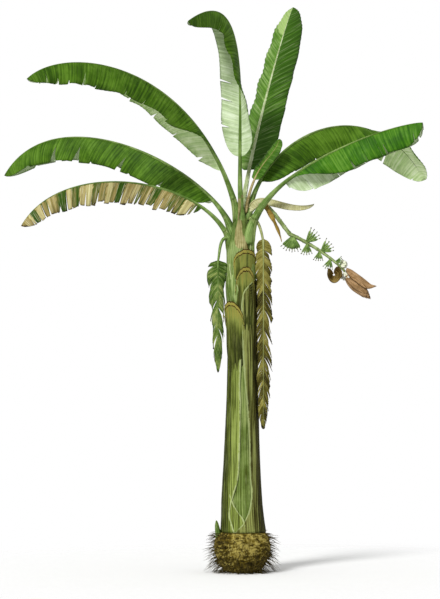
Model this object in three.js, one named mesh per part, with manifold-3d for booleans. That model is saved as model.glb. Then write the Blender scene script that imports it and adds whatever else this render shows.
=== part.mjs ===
// A banana plant in flower, about 4.25 m tall, upright on the flat underside of its corm.
//
// Millimetres, +Z up. The origin is the middle of the corm's underside, and -Y is the front.
// Every leaf is a round stalk and a thin folded blade, both laid along one arching rib curve.
// A piece that meets an earlier one is cut back from it, so touching pieces stay apart by GAP.

import * as THREE from 'three';
import Module from 'manifold-3d';
import { mergeVertices } from 'three/addons/utils/BufferGeometryUtils.js';

const wasm = await Module();
wasm.setup();

// ---- Driving dimensions ------------------------------------------------------------------

const GAP = 0.3;
const SPLIT_GAP = 0.8;

// Corm outline from the rim of its flat underside up to the foot of the stem: radius, height.
const CORM_HEIGHT = 300;
const CORM_OUTLINE = [[112, 0], [143, 22], [167, 55], [188, 95], [202, 135], [208, 175], [206, 225], [195, 268]];
const CORM_SHOULDER = [172, CORM_HEIGHT];

// Stem stations: how far its middle leans in x, its radius and its height.
const STEM_STATIONS = [
  [5, 165, CORM_HEIGHT + GAP],
  [0, 154, 400],
  [-6, 145, 540],
  [-5, 125, 915],
  [-1, 112, 1290],
  [1, 106, 1665],
  [-9, 101, 2040],
  [-11, 95, 2265],
  [-13, 86, 2415],
  [-7, 68, 2520],
  [1, 46, 2610],
  [9, 26, 2680],
];

// Stumps of shed leaf sheaths, outermost first. Each wraps the stem about a middle angle, with
// the front at -90 degrees, and ends above in an arch.
const STUMP_WALL = 9;
const OLD_SHEATHS = [
  { name: 'old_sheath_lower', middle: -130, halfSpan: 46, bottom: 1500, shoulder: 1880, arch: 150 },
  { name: 'old_sheath_middle', middle: -72, halfSpan: 38, bottom: 1760, shoulder: 2130, arch: 160 },
  { name: 'old_sheath_upper', middle: -66, halfSpan: 53, bottom: 2090, shoulder: 2320, arch: 100 },
];

// A leaf rises from its foot in the upright plane of its heading, in degrees from +X to +Y.
// rise and droop give the rib's angles to the level at its foot and tip, each with the length
// it carries. reach and up place the tip from the foot. stalk is the bare share of the rib.
// fold holds the droop of the left and right half-blades at base, middle and tip: it is full
// at the share opens, and turns to the tip's between the two shares of closes. There the
// blade also turns about its rib by twist.
const LEAVES = [
  {
    name: 'leaf_straight_right', foot: [35, -30, 2445], heading: -20,
    rise: [88, 587], reach: 1369, up: 899, droop: [-3, 193],
    stalk: 0.33, stalkRadii: [48, 17],
    halfWidth: 205, taper: 0.1, tipBlunt: 9, fold: [[58, 62], [60, 70], [50, 65]],
  },
  {
    name: 'leaf_low_left', foot: [-65, 0, 2355], heading: 185,
    rise: [88, 591], reach: 1593, up: 237, droop: [-61, 659],
    stalk: 0.235, stalkRadii: [34, 15],
    halfWidth: 195, taper: 0.15, fold: [[62, 60], [70, 62], [60, 60]],
  },
  {
    name: 'leaf_middle_left', foot: [-55, 10, 2475], heading: 152,
    rise: [85, 518], reach: 2034, up: 537, droop: [-56, 835],
    stalk: 0.155, stalkRadii: [40, 17],
    halfWidth: 235, taper: 0.2, fold: [[40, 40], [68, 62], [60, 55]],
  },
  {
    name: 'leaf_high_left', foot: [-13, -6, 2595], heading: 212,
    rise: [76, 1260], reach: 1822, up: 1038, droop: [-42, 436],
    stalk: 0.18, stalkRadii: [36, 17],
    halfWidth: 240, taper: 0.22, fold: [[0, 0], [58, 30], [62, 60]],
  },
  {
    name: 'leaf_arched_right', foot: [35, 6, 2625], heading: 28,
    rise: [84, 641], reach: 1562, up: 342, droop: [-57, 936],
    stalk: 0.16, stalkRadii: [32, 16],
    halfWidth: 205, taper: 0.05, closes: [0.5, 0.72], fold: [[30, 35], [55, 68], [0, 58]], twist: -62,
  },
  {
    name: 'leaf_top_left', foot: [9, -6, 2610], heading: 236,
    rise: [67, 453], reach: 733, up: 1471, droop: [-26, 1142],
    stalk: 0.24, stalkRadii: [26, 14],
    halfWidth: 170, taper: 0.15, opens: 0.55, fold: [[5, 5], [75, 12], [80, 45]],
  },
  {
    name: 'leaf_top_right', foot: [-5, 24, 2625], heading: 72,
    rise: [87, 371], reach: 1349, up: 1730, droop: [22, 171],
    stalk: 0.2, stalkRadii: [26, 15],
    halfWidth: 176, taper: 0.1, fold: [[32, 15], [38, 25], [28, 20]],
  },
  {
    name: 'leaf_young', foot: [24, -14, 2685], heading: 8,
    rise: [83, 398], reach: 258, up: 565, droop: [76, 160], roll: 40, oneBlade: true,
    stalk: 0.42, stalkRadii: [16, 9],
    halfWidth: 62, taper: 0.1, fold: [[0, 0], [0, 0], [0, 0]],
  },
];

// Two dead leaves that hang beside the stem, upper side to the front.
const HANGING_LEAVES = [
  {
    name: 'leaf_hanging_left',
    stalk: { foot: [-65, 0, 2470], heading: 200, rise: [46, 170], reach: 124, up: -128, droop: [-67, 30] },
    blade: { foot: [-182, -60, 2338], heading: -90, rise: [-88, 200], reach: 10, up: -838, droop: [-88, 200] },
    stalkRadii: [17, 9], halfWidth: 88, taper: 0.7, cut: 0.5, joints: ['blade', 'tail'],
  },
  {
    name: 'leaf_hanging_right',
    stalk: { foot: [45, -14, 2640], heading: -22, rise: [40, 90], reach: 116, up: -140, droop: [-80, 60] },
    blade: { foot: [157, -62, 2498], heading: -90, rise: [-88, 300], reach: 8, up: -1424, droop: [-88, 300] },
    stalkRadii: [13, 9], halfWidth: 84, taper: 0.4, cut: 0.5, joints: ['blade_upper', 'blade_lower'],
  },
];

// The flower stalk leaves the crown, arches over and then carries the hands and the bud.
const PEDUNCLE = { foot: [29, 4, 2650], heading: -2, rise: [62, 260], reach: 330, up: -118, droop: [-50, 190] };
const PEDUNCLE_RADII = [17, 15];
const RACHIS = { foot: [359, -8, 2532], heading: -2, rise: [-22, 110], reach: 412, up: -282, droop: [-52, 130] };
const RACHIS_RADII = [15, 9];

// Bracts by the crown: a long one folded over the flower stalk, and a dry one that hangs.
const FLAG_BRACT = { foot: [31, -4, 2700], heading: 4, rise: [72, 240], reach: 510, up: 62, droop: [18, 230] };
const FLAG_HALF_WIDTH = 66;
const DRY_BRACT = { foot: [147, -44, 2782], heading: -10, rise: [-48, 90], reach: 150, up: -310, droop: [-80, 90] };
const DRY_HALF_WIDTH = 24;

// Hands of young fruit: share of the rachis, middle angle of the fan in the X-Z plane, half
// its spread, the fingers' length and how far the fan stands in front of the rachis.
const HANDS = [
  { name: 'hand_1', at: 0.04, middle: 262, halfSpread: 38, length: 122, depth: 62 },
  { name: 'hand_2_upper', at: 0.26, middle: 42, halfSpread: 28, length: 112, depth: 54 },
  { name: 'hand_2_lower', at: 0.28, middle: 268, halfSpread: 26, length: 92, depth: 54 },
  { name: 'hand_3_upper', at: 0.52, middle: 34, halfSpread: 30, length: 104, depth: 48 },
  { name: 'hand_3_lower', at: 0.5, middle: 262, halfSpread: 26, length: 78, depth: 48 },
  { name: 'hand_4', at: 0.7, middle: 254, halfSpread: 26, length: 84, depth: 42 },
  { name: 'hand_5', at: 0.78, middle: 14, halfSpread: 24, length: 58, depth: 36 },
];

// The flower bud points down along its own axis, and two of its bracts stand away from it.
const BUD_FOOT = [778, -24, 2224];
const BUD_LENGTH = 258;
const BUD_RADIUS = 48;
const BUD_ANGLE = -44;
const LIFTED_BRACT = { foot: [782, -24, 2282], heading: 0, rise: [-16, 90], reach: 218, up: -146, droop: [-38, 60] };
const LIFTED_HALF_WIDTH = 40;
const CURLED_BRACT_MIDDLE = [690, -34, 2232];
const CURLED_BRACT_RADIUS = 50;
const CURLED_BRACT_LENGTH = 110;

const SUCKER_FOOT = [-176, -36, 262];
const SUCKER_TIP = [-195, -40, 392];
const SUCKER_RADIUS = 22;

// ---- Materials ---------------------------------------------------------------------------

const material = (color, roughness) => new THREE.MeshStandardMaterial({ color, roughness, metalness: 0 });

const CORM_SKIN = material(0x6b5a35, 0.85);
const STEM_SKIN = material(0x7d8f55, 0.6);
const DRY_SHEATH = material(0x6d5c30, 0.8);
const STALK_SKIN = material(0x7fa65a, 0.5);
const GREEN_BLADE = material(0x3f7a24, 0.5);
const FADED_BLADE = material(0xb39c68, 0.7);
const DEAD_BLADE = material(0x6f7438, 0.8);
const PALE_BRACT = material(0xb8a77c, 0.7);
const GREEN_FRUIT = material(0x5e8c4c, 0.5);
const BUD_SKIN = material(0x9a7154, 0.55);

// ---- Curves and frames -------------------------------------------------------------------

const radians = THREE.MathUtils.degToRad;

function archCurve({ foot, heading, rise, reach, up, droop }) {
  const outward = new THREE.Vector3(Math.cos(radians(heading)), Math.sin(radians(heading)), 0);
  const start = new THREE.Vector3(...foot);
  const place = (out, high) => start.clone().addScaledVector(outward, out).setZ(start.z + high);
  const [riseAngle, riseCarry] = rise;
  const [droopAngle, droopCarry] = droop;
  return new THREE.CubicBezierCurve3(
    start,
    place(riseCarry * Math.cos(radians(riseAngle)), riseCarry * Math.sin(radians(riseAngle))),
    place(reach - droopCarry * Math.cos(radians(droopAngle)), up - droopCarry * Math.sin(radians(droopAngle))),
    place(reach, up),
  );
}

// The frame at a share of the curve's length: left is level, and upper is square to the rib.
function frameAt(curve, heading, share, roll = 0) {
  const tangent = curve.getTangentAt(share);
  const level = new THREE.Vector3(-Math.sin(radians(heading)), Math.cos(radians(heading)), 0);
  const upper = tangent.clone().cross(level);
  const left = level.clone().multiplyScalar(Math.cos(radians(roll)));
  left.addScaledVector(upper, Math.sin(radians(roll)));
  upper.multiplyScalar(Math.cos(radians(roll))).addScaledVector(level, -Math.sin(radians(roll)));
  return { point: curve.getPointAt(share), left, upper };
}

function remap(geometry, placeVertex) {
  const position = geometry.attributes.position;
  for (let i = 0; i < position.count; i += 1) {
    const placed = placeVertex(position.getX(i), position.getY(i), position.getZ(i));
    position.setXYZ(i, placed.x, placed.y, placed.z);
  }
  return geometry;
}

// ---- Shape makers ------------------------------------------------------------------------
// Each takes grow, the clearance to add all round, so that it can also make its own cutter.

function rod(plan, radii, grow, from = 0, to = 1, rows = 9, sides = 8) {
  const curve = archCurve(plan);
  const unit = new THREE.CylinderGeometry(1, 1, 1, sides, rows);
  return remap(unit, (x, y, z) => {
    const along = y + 0.5;
    const { point, left, upper } = frameAt(curve, plan.heading, from + (to - from) * along);
    const radius = THREE.MathUtils.lerp(radii[0], radii[1], along) + grow;
    return point.addScaledVector(left, x * radius).addScaledVector(upper, -z * radius);
  });
}

// Half-width along a blade: blunt at the base, and narrower towards a blunt or pointed tip.
function halfWidthAt({ halfWidth, taper, tipBlunt = 3.5 }, share) {
  const bluntness = share < 0.5 ? 5.5 : tipBlunt;
  const outline = Math.sqrt(Math.max(0, 1 - Math.abs(2 * share - 1) ** bluntness));
  return halfWidth * Math.max(0.06, outline * (1 - taper * share));
}

function foldAt({ fold, opens = 0.3, closes = [0.6, 1] }, side, share) {
  const [base, middle, tip] = fold.map((pair) => pair[side]);
  const opened = THREE.MathUtils.lerp(base, middle, THREE.MathUtils.smoothstep(share, 0, opens));
  return radians(THREE.MathUtils.lerp(opened, tip, THREE.MathUtils.smoothstep(share, ...closes)));
}

// A blade of two flat halves that fold down from its rib, between two shares of its length.
function blade(plan, shape, grow, from, to, rows) {
  const { start = 0, roll = 0, twist = 0, closes = [0.6, 1], wall = 5, rib = 14 } = shape;
  const curve = archCurve(plan);
  const unit = new THREE.BoxGeometry(2, 1, 1, 4, rows, 1);
  return remap(unit, (x, y, z) => {
    const share = from + (to - from) * (y + 0.5);
    const turned = roll + twist * THREE.MathUtils.smoothstep(share, ...closes);
    const { point, left, upper } = frameAt(curve, plan.heading, start + (1 - start) * share, turned);
    const side = -Math.sign(x);
    const angle = side === 0 ? 0 : foldAt(shape, side > 0 ? 0 : 1, share);
    const width = (halfWidthAt(shape, share) + grow) * Math.abs(x);
    const under = side === 0 ? wall + rib * (1 - 0.7 * share) : wall / 2;
    const depth = z > 0 ? wall / 2 + grow : -under - grow;
    point.addScaledVector(left, side * (width * Math.cos(angle) + depth * Math.sin(angle)));
    return point.addScaledVector(upper, depth * Math.cos(angle) - width * Math.sin(angle));
  });
}

function corm(grow) {
  const outline = [...CORM_OUTLINE, CORM_SHOULDER];
  const profile = outline.map(([radius, height]) => new THREE.Vector2(radius + grow, height));
  const floor = new THREE.Vector2(0, 0);
  const crown = new THREE.Vector2(0, CORM_HEIGHT);
  return new THREE.LatheGeometry([floor, ...profile, crown], 20).rotateX(Math.PI / 2);
}

const STEM_CURVE = new THREE.CatmullRomCurve3(STEM_STATIONS.map((station) => new THREE.Vector3(...station)));

function pseudostem(grow) {
  const unit = new THREE.CylinderGeometry(1, 1, 1, 20, 13);
  return remap(unit, (x, y, z) => {
    const station = STEM_CURVE.getPoint(y + 0.5);
    const radius = station.y + grow;
    return new THREE.Vector3(station.x + x * radius, -z * radius, station.z + (y > 0.49 ? grow : 0));
  });
}

// The stem's station at a height, found by halving the curve's parameter.
function stemAt(height) {
  let low = 0;
  let high = 1;
  for (let step = 0; step < 20; step += 1) {
    const middle = (low + high) / 2;
    if (STEM_CURVE.getPoint(middle).z < height) low = middle;
    else high = middle;
  }
  return STEM_CURVE.getPoint(low);
}

function oldSheath(plan, grow) {
  const unit = new THREE.BoxGeometry(2, 1, 1, 8, 4, 1);
  return remap(unit, (x, y, z) => {
    const top = plan.shoulder + plan.arch * (1 - x * x);
    const bottom = plan.bottom + plan.arch * 0.5 * x * x;
    const height = THREE.MathUtils.lerp(bottom - grow, top + grow, y + 0.5);
    const station = stemAt(height);
    const angle = radians(plan.middle + x * plan.halfSpan) + (x * grow) / station.y;
    const radius = station.y + (z > 0 ? STUMP_WALL + grow : -4);
    return new THREE.Vector3(station.x + radius * Math.cos(angle), radius * Math.sin(angle), height);
  });
}

// A fan of fingers that curves round the front of the rachis, as one wedge.
function hand(plan, grow) {
  const root = archCurve(RACHIS).getPointAt(plan.at);
  const unit = new THREE.BoxGeometry(2, 1, 1, 4, 1, 1);
  return remap(unit, (x, y, z) => {
    const reach = y + 0.5;
    const angle = radians(plan.middle + x * plan.halfSpread);
    const bulge = plan.length * (1 - 0.12 * x * x);
    const out = THREE.MathUtils.lerp(4, bulge + grow, reach);
    const depth = (plan.depth / 2) * (0.8 + 0.2 * reach) + grow;
    const front = -plan.depth * 0.25;
    return new THREE.Vector3(
      root.x + out * Math.cos(angle),
      root.y + front + 2 * z * depth,
      root.z + out * Math.sin(angle),
    );
  });
}

function bud(grow) {
  const outline = new THREE.SplineCurve([
    new THREE.Vector2(0.3, 0),
    new THREE.Vector2(0.85, 0.2),
    new THREE.Vector2(1, 0.45),
    new THREE.Vector2(0.75, 0.74),
    new THREE.Vector2(0.16, 0.97),
  ]);
  const profile = outline.getPoints(10).map((p) => new THREE.Vector2(p.x * BUD_RADIUS + grow, p.y * BUD_LENGTH));
  const foot = new THREE.Vector2(0, 0);
  const tip = new THREE.Vector2(0, BUD_LENGTH);
  const turned = new THREE.LatheGeometry([foot, ...profile, tip], 14);
  return turned.rotateX(Math.PI / 2).rotateY(radians(90 - BUD_ANGLE)).translate(...BUD_FOOT);
}

// A bract rolled up on itself: a lathe ring of a thin wall, lying along the view from the front.
function curledBract(grow) {
  const half = CURLED_BRACT_LENGTH / 2 + grow;
  const profile = [
    new THREE.Vector2(0, -half * 0.9),
    new THREE.Vector2(CURLED_BRACT_RADIUS * 0.7 + grow, -half * 0.8),
    new THREE.Vector2(CURLED_BRACT_RADIUS + grow, -half * 0.2),
    new THREE.Vector2(CURLED_BRACT_RADIUS * 0.9 + grow, half * 0.5),
    new THREE.Vector2(CURLED_BRACT_RADIUS * 0.4 + grow, half * 0.95),
    new THREE.Vector2(0, half),
  ];
  const turned = new THREE.LatheGeometry(profile, 14);
  return turned.rotateZ(radians(52)).translate(...CURLED_BRACT_MIDDLE);
}

function suckerBud(grow) {
  const foot = new THREE.Vector3(...SUCKER_FOOT);
  const tip = new THREE.Vector3(...SUCKER_TIP);
  const unit = new THREE.CylinderGeometry(1, 1, 1, 10, 5);
  return remap(unit, (x, y, z) => {
    const along = y + 0.5;
    const radius = SUCKER_RADIUS * Math.sqrt(1 - 0.97 * along ** 1.6) + grow;
    const middle = foot.clone().lerp(tip, along);
    return new THREE.Vector3(middle.x + x * radius, middle.y - z * radius, middle.z);
  });
}

// ---- Assembly ----------------------------------------------------------------------------

function toSolid(geometry) {
  geometry.deleteAttribute('normal');
  geometry.deleteAttribute('uv');
  const merged = mergeVertices(geometry, 1e-3);
  const vertProperties = new Float32Array(merged.attributes.position.array);
  const triVerts = new Uint32Array(merged.index.array);
  return new wasm.Manifold(new wasm.Mesh({ numProp: 3, vertProperties, triVerts }));
}

function toGeometry(solid) {
  const { vertProperties, triVerts } = solid.getMesh();
  const geometry = new THREE.BufferGeometry();
  geometry.setAttribute('position', new THREE.BufferAttribute(vertProperties, 3));
  geometry.setIndex(new THREE.BufferAttribute(triVerts, 1));
  geometry.computeVertexNormals();
  return geometry;
}

const plant = new THREE.Group();
const cutters = [];

// Adds a piece, cut back from every piece before it. Only its largest part stays.
function addPiece(name, skin, make) {
  let solid = toSolid(make(0));
  for (const cutter of cutters) solid = solid.subtract(cutter);
  const [largest] = solid.decompose().sort((a, b) => b.volume() - a.volume());
  cutters.push(toSolid(make(GAP)));
  const mesh = new THREE.Mesh(toGeometry(largest), skin);
  mesh.name = name;
  plant.add(mesh);
}

function addLeafStalk(leaf) {
  addPiece(`${leaf.name}_stalk`, STALK_SKIN, (grow) => rod(leaf, leaf.stalkRadii, grow, 0, leaf.stalk));
}

function addLeafBlade(leaf) {
  const skin = leaf.name === 'leaf_low_left' ? FADED_BLADE : GREEN_BLADE;
  const shape = { ...leaf, start: leaf.stalk };
  const gap = SPLIT_GAP / archCurve(leaf).getLength();
  if (leaf.oneBlade) {
    addPiece(`${leaf.name}_blade`, skin, (grow) => blade(leaf, shape, grow, gap, 1, 8));
    return;
  }
  addPiece(`${leaf.name}_blade_inner`, skin, (grow) => blade(leaf, shape, grow, gap, 0.5, 7));
  addPiece(`${leaf.name}_blade_outer`, skin, (grow) => blade(leaf, shape, grow, 0.5 + gap, 1, 9));
}

function addHangingLeaf(leaf) {
  const [first, second] = leaf.joints;
  const shape = { halfWidth: leaf.halfWidth, taper: leaf.taper, fold: [[12, 12], [25, 25], [20, 20]], rib: 6 };
  const gap = SPLIT_GAP / leaf.halfWidth / 10;
  const to = (share) => (grow) => blade(leaf.blade, shape, grow, ...share);
  addPiece(`${leaf.name}_stalk`, STALK_SKIN, (grow) => rod(leaf.stalk, leaf.stalkRadii, grow, 0, 1, 8, 8));
  addPiece(`${leaf.name}_${first}`, DEAD_BLADE, to([gap, leaf.cut, 6]));
  addPiece(`${leaf.name}_${second}`, DEAD_BLADE, to([leaf.cut + gap, 1, 6]));
}

addPiece('corm', CORM_SKIN, corm);
addPiece('pseudostem', STEM_SKIN, pseudostem);
addPiece('sucker_bud', STALK_SKIN, suckerBud);
LEAVES.forEach(addLeafStalk);
OLD_SHEATHS.forEach((plan) => addPiece(plan.name, DRY_SHEATH, (grow) => oldSheath(plan, grow)));
addPiece('peduncle', GREEN_FRUIT, (grow) => rod(PEDUNCLE, PEDUNCLE_RADII, grow));
addPiece('rachis', GREEN_FRUIT, (grow) => rod(RACHIS, RACHIS_RADII, grow, 0.004, 1));
HANDS.forEach((plan) => addPiece(plan.name, GREEN_FRUIT, (grow) => hand(plan, grow)));
addPiece('flower_bud', BUD_SKIN, bud);
addPiece('bract_lifted', BUD_SKIN, (grow) => blade(
  LIFTED_BRACT,
  { halfWidth: LIFTED_HALF_WIDTH, taper: 0.6, fold: [[35, 35], [35, 35], [10, 10]], rib: 2 },
  grow, 0, 1, 7,
));
addPiece('bract_curled', BUD_SKIN, curledBract);
addPiece('bract_flag', PALE_BRACT, (grow) => blade(
  FLAG_BRACT,
  { halfWidth: FLAG_HALF_WIDTH, taper: 0.55, fold: [[60, 60], [68, 68], [60, 60]], rib: 6 },
  grow, 0, 1, 10,
));
addPiece('bract_dry', DRY_SHEATH, (grow) => blade(
  DRY_BRACT,
  { halfWidth: DRY_HALF_WIDTH, taper: 0.7, fold: [[10, 10], [15, 15], [10, 10]], rib: 3 },
  grow, 0, 1, 8,
));
HANGING_LEAVES.forEach(addHangingLeaf);
LEAVES.forEach(addLeafBlade);

export default plant;
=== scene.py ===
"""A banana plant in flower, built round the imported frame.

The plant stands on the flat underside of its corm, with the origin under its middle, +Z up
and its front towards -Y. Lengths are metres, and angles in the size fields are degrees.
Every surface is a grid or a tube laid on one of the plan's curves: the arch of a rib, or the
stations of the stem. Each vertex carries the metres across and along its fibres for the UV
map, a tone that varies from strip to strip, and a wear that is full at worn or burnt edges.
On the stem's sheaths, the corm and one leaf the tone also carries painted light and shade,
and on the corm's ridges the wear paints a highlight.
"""

import bisect
import logging
import random
from dataclasses import dataclass
from enum import Enum
from math import cos, pi, radians, sin, sqrt
from typing import Callable, NamedTuple, Sequence

import bmesh
import bpy
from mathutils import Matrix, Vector, noise
from mathutils.geometry import interpolate_bezier

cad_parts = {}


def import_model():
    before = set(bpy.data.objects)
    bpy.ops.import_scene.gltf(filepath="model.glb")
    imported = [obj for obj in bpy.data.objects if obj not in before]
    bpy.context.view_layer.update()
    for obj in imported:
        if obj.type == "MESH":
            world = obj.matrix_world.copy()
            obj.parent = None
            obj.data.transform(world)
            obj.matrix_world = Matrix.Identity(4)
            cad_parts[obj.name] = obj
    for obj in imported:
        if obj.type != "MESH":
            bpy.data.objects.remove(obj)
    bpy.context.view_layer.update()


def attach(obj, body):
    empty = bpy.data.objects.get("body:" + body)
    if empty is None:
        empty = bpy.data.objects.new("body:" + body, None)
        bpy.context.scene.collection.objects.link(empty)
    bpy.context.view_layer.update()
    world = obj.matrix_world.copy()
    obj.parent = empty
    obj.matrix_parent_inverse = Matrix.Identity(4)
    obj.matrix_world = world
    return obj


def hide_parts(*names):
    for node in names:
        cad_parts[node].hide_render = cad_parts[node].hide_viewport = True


LOG = logging.getLogger("banana_plant")
BODY = "root"
ARCH_SAMPLES = 240
WELD = 2e-5
FULL_TURN = 2 * pi

Pair = tuple[float, float]
Pairs = tuple[Pair, ...]
Point = tuple[float, float, float]
Faces = list[bmesh.types.BMFace]
Socket = bpy.types.NodeSocket
Piece = bpy.types.Object


class Slot(Enum):
    """Kinds of material, which each piece is handed but does not use."""

    CORM = "corm"
    STEM = "stem"
    STALK = "stalk"
    FRUIT = "fruit"
    DRY_SHEATH = "dry_sheath"
    LEAF = "leaf"
    FADED_LEAF = "faded_leaf"
    DEAD_LEAF = "dead_leaf"
    PALE_BRACT = "pale_bract"
    BUD = "bud"


class Side(Enum):
    """The two halves of a blade, seen from its foot with its upper side up."""

    LEFT = 1
    RIGHT = -1


# ---- Small sums ----


def mix(first: float, second: float, share: float) -> float:
    """Returns the value at a share of the way from first to second."""
    return first + (second - first) * share


def ease(value: float, low: float, high: float) -> float:
    """Returns a smooth step from 0 at low to 1 at high."""
    share = kept_in((value - low) / (high - low))
    return share * share * (3 - 2 * share)


def kept_in(value: float) -> float:
    """Returns value kept between 0 and 1."""
    return min(1.0, max(0.0, value))


def dome(value: float) -> float:
    """Returns a round fall from 1 at 0 to 0 at 1 and over."""
    return sqrt(max(0.0, 1 - value))


def ripple(*place: float) -> float:
    """Returns smooth noise from about -1 to 1 at a place of one to three numbers."""
    return noise.noise(Vector((*place, 0.31, 0.77)[:3]))


def curve_through(rows: Sequence[Sequence[float]], key: float) -> list[float]:
    """Reads a smooth curve through the rows of a table.

    Args:
        rows: Rows in rising order of their first number.
        key: The place to read, in the first number's units.

    Returns:
        The row's other numbers at that place.
    """
    last = len(rows) - 1
    spot = min(last - 1, max(0, bisect.bisect_right([row[0] for row in rows], key) - 1))
    before, low, high, after = (rows[min(last, max(0, spot + step))] for step in (-1, 0, 1, 2))
    span = high[0] - low[0]
    share = kept_in((key - low[0]) / span)
    values = []
    for column in range(1, len(low)):
        rise_low = (high[column] - before[column]) * span / max(span, high[0] - before[0])
        rise_high = (after[column] - low[column]) * span / max(span, after[0] - low[0])
        square, cube = share**2, share**3
        values.append(
            low[column] * (2 * cube - 3 * square + 1)
            + rise_low * (cube - 2 * square + share)
            + high[column] * (3 * square - 2 * cube)
            + rise_high * (cube - square)
        )
    return values


def put_in_scene(name: str, data: bpy.types.ID) -> Piece:
    """Puts a new object in the scene.

    Args:
        name: The object's name.
        data: Its mesh, light or camera.

    Returns:
        The object.
    """
    made = bpy.data.objects.new(name, data)
    bpy.context.scene.collection.objects.link(made)
    return made


# ---- Curves ----


class RibFrame(NamedTuple):
    """A point of a rib with the directions along it, to its left and out of its upper side."""

    point: Vector
    along: Vector
    left: Vector
    upper: Vector


@dataclass(frozen=True)
class Arch:
    """A cubic arch that stands in the upright plane of its heading.

    rise and droop hold the curve's angle to the level at its foot and tip, with the length that
    it carries. reach and up place the tip from the foot.
    """

    foot: Point
    heading: float
    rise: Pair
    reach: float
    up: float
    droop: Pair

    def line(self) -> "RibLine":
        """Draws the arch.

        Returns:
            The arch as a line that is read by shares of its length.
        """
        outward = Vector((cos(radians(self.heading)), sin(radians(self.heading)), 0))
        foot = Vector(self.foot)

        def place(out: float, high: float) -> Vector:
            """Places a point in the plane of the heading."""
            return foot + outward * out + Vector((0, 0, high))

        rise, rise_carry = radians(self.rise[0]), self.rise[1]
        droop, droop_carry = radians(self.droop[0]), self.droop[1]
        first = place(rise_carry * cos(rise), rise_carry * sin(rise))
        second = place(
            self.reach - droop_carry * cos(droop), self.up - droop_carry * sin(droop)
        )
        points = interpolate_bezier(foot, first, second, place(self.reach, self.up), ARCH_SAMPLES)
        return RibLine(points, self.heading)


class RibLine:
    """A line of points, read by shares of its length."""

    def __init__(self, points: Sequence[Vector], heading: float) -> None:
        """Measures the line.

        Args:
            points: Close points along the line.
            heading: The line's heading, which gives its level left-hand direction.
        """
        self.points = [Vector(point) for point in points]
        turn = radians(heading)
        self.level = Vector((-sin(turn), cos(turn), 0))
        self.marks = [0.0]
        for first, second in zip(self.points, self.points[1:]):
            self.marks.append(self.marks[-1] + (second - first).length)
        self.length = self.marks[-1]

    def at(self, share: float, roll: float = 0.0) -> RibFrame:
        """Returns the frame at a share of the length.

        Args:
            share: From 0 at the foot to 1 at the tip.
            roll: Turn about the line, in degrees, which lifts the left side.

        Returns:
            The point and its directions.
        """
        mark = min(max(share, 0.0), 1.0) * self.length
        spot = min(len(self.points) - 2, max(0, bisect.bisect_right(self.marks, mark) - 1))
        first, second = self.points[spot], self.points[spot + 1]
        part = (mark - self.marks[spot]) / max(1e-9, self.marks[spot + 1] - self.marks[spot])
        before = self.points[max(0, spot - 1)]
        after = self.points[min(len(self.points) - 1, spot + 2)]
        along = (second - before).lerp(after - first, part).normalized()
        upper = along.cross(self.level).normalized()
        turn = radians(roll)
        left = self.level * cos(turn) + upper * sin(turn)
        upper = upper * cos(turn) - self.level * sin(turn)
        return RibFrame(first.lerp(second, part), along, left, upper)


# ---- Surfaces ----


class Spot(NamedTuple):
    """A point of a surface: its place, its metres across and along the fibres, tone and wear."""

    place: Vector
    across: float
    along: float
    tone: float = 0.5
    wear: float = 0.0


SpotAt = Callable[[float, float], Spot]
PATTERN = (*Spot._fields[1:], "girth")


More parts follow.
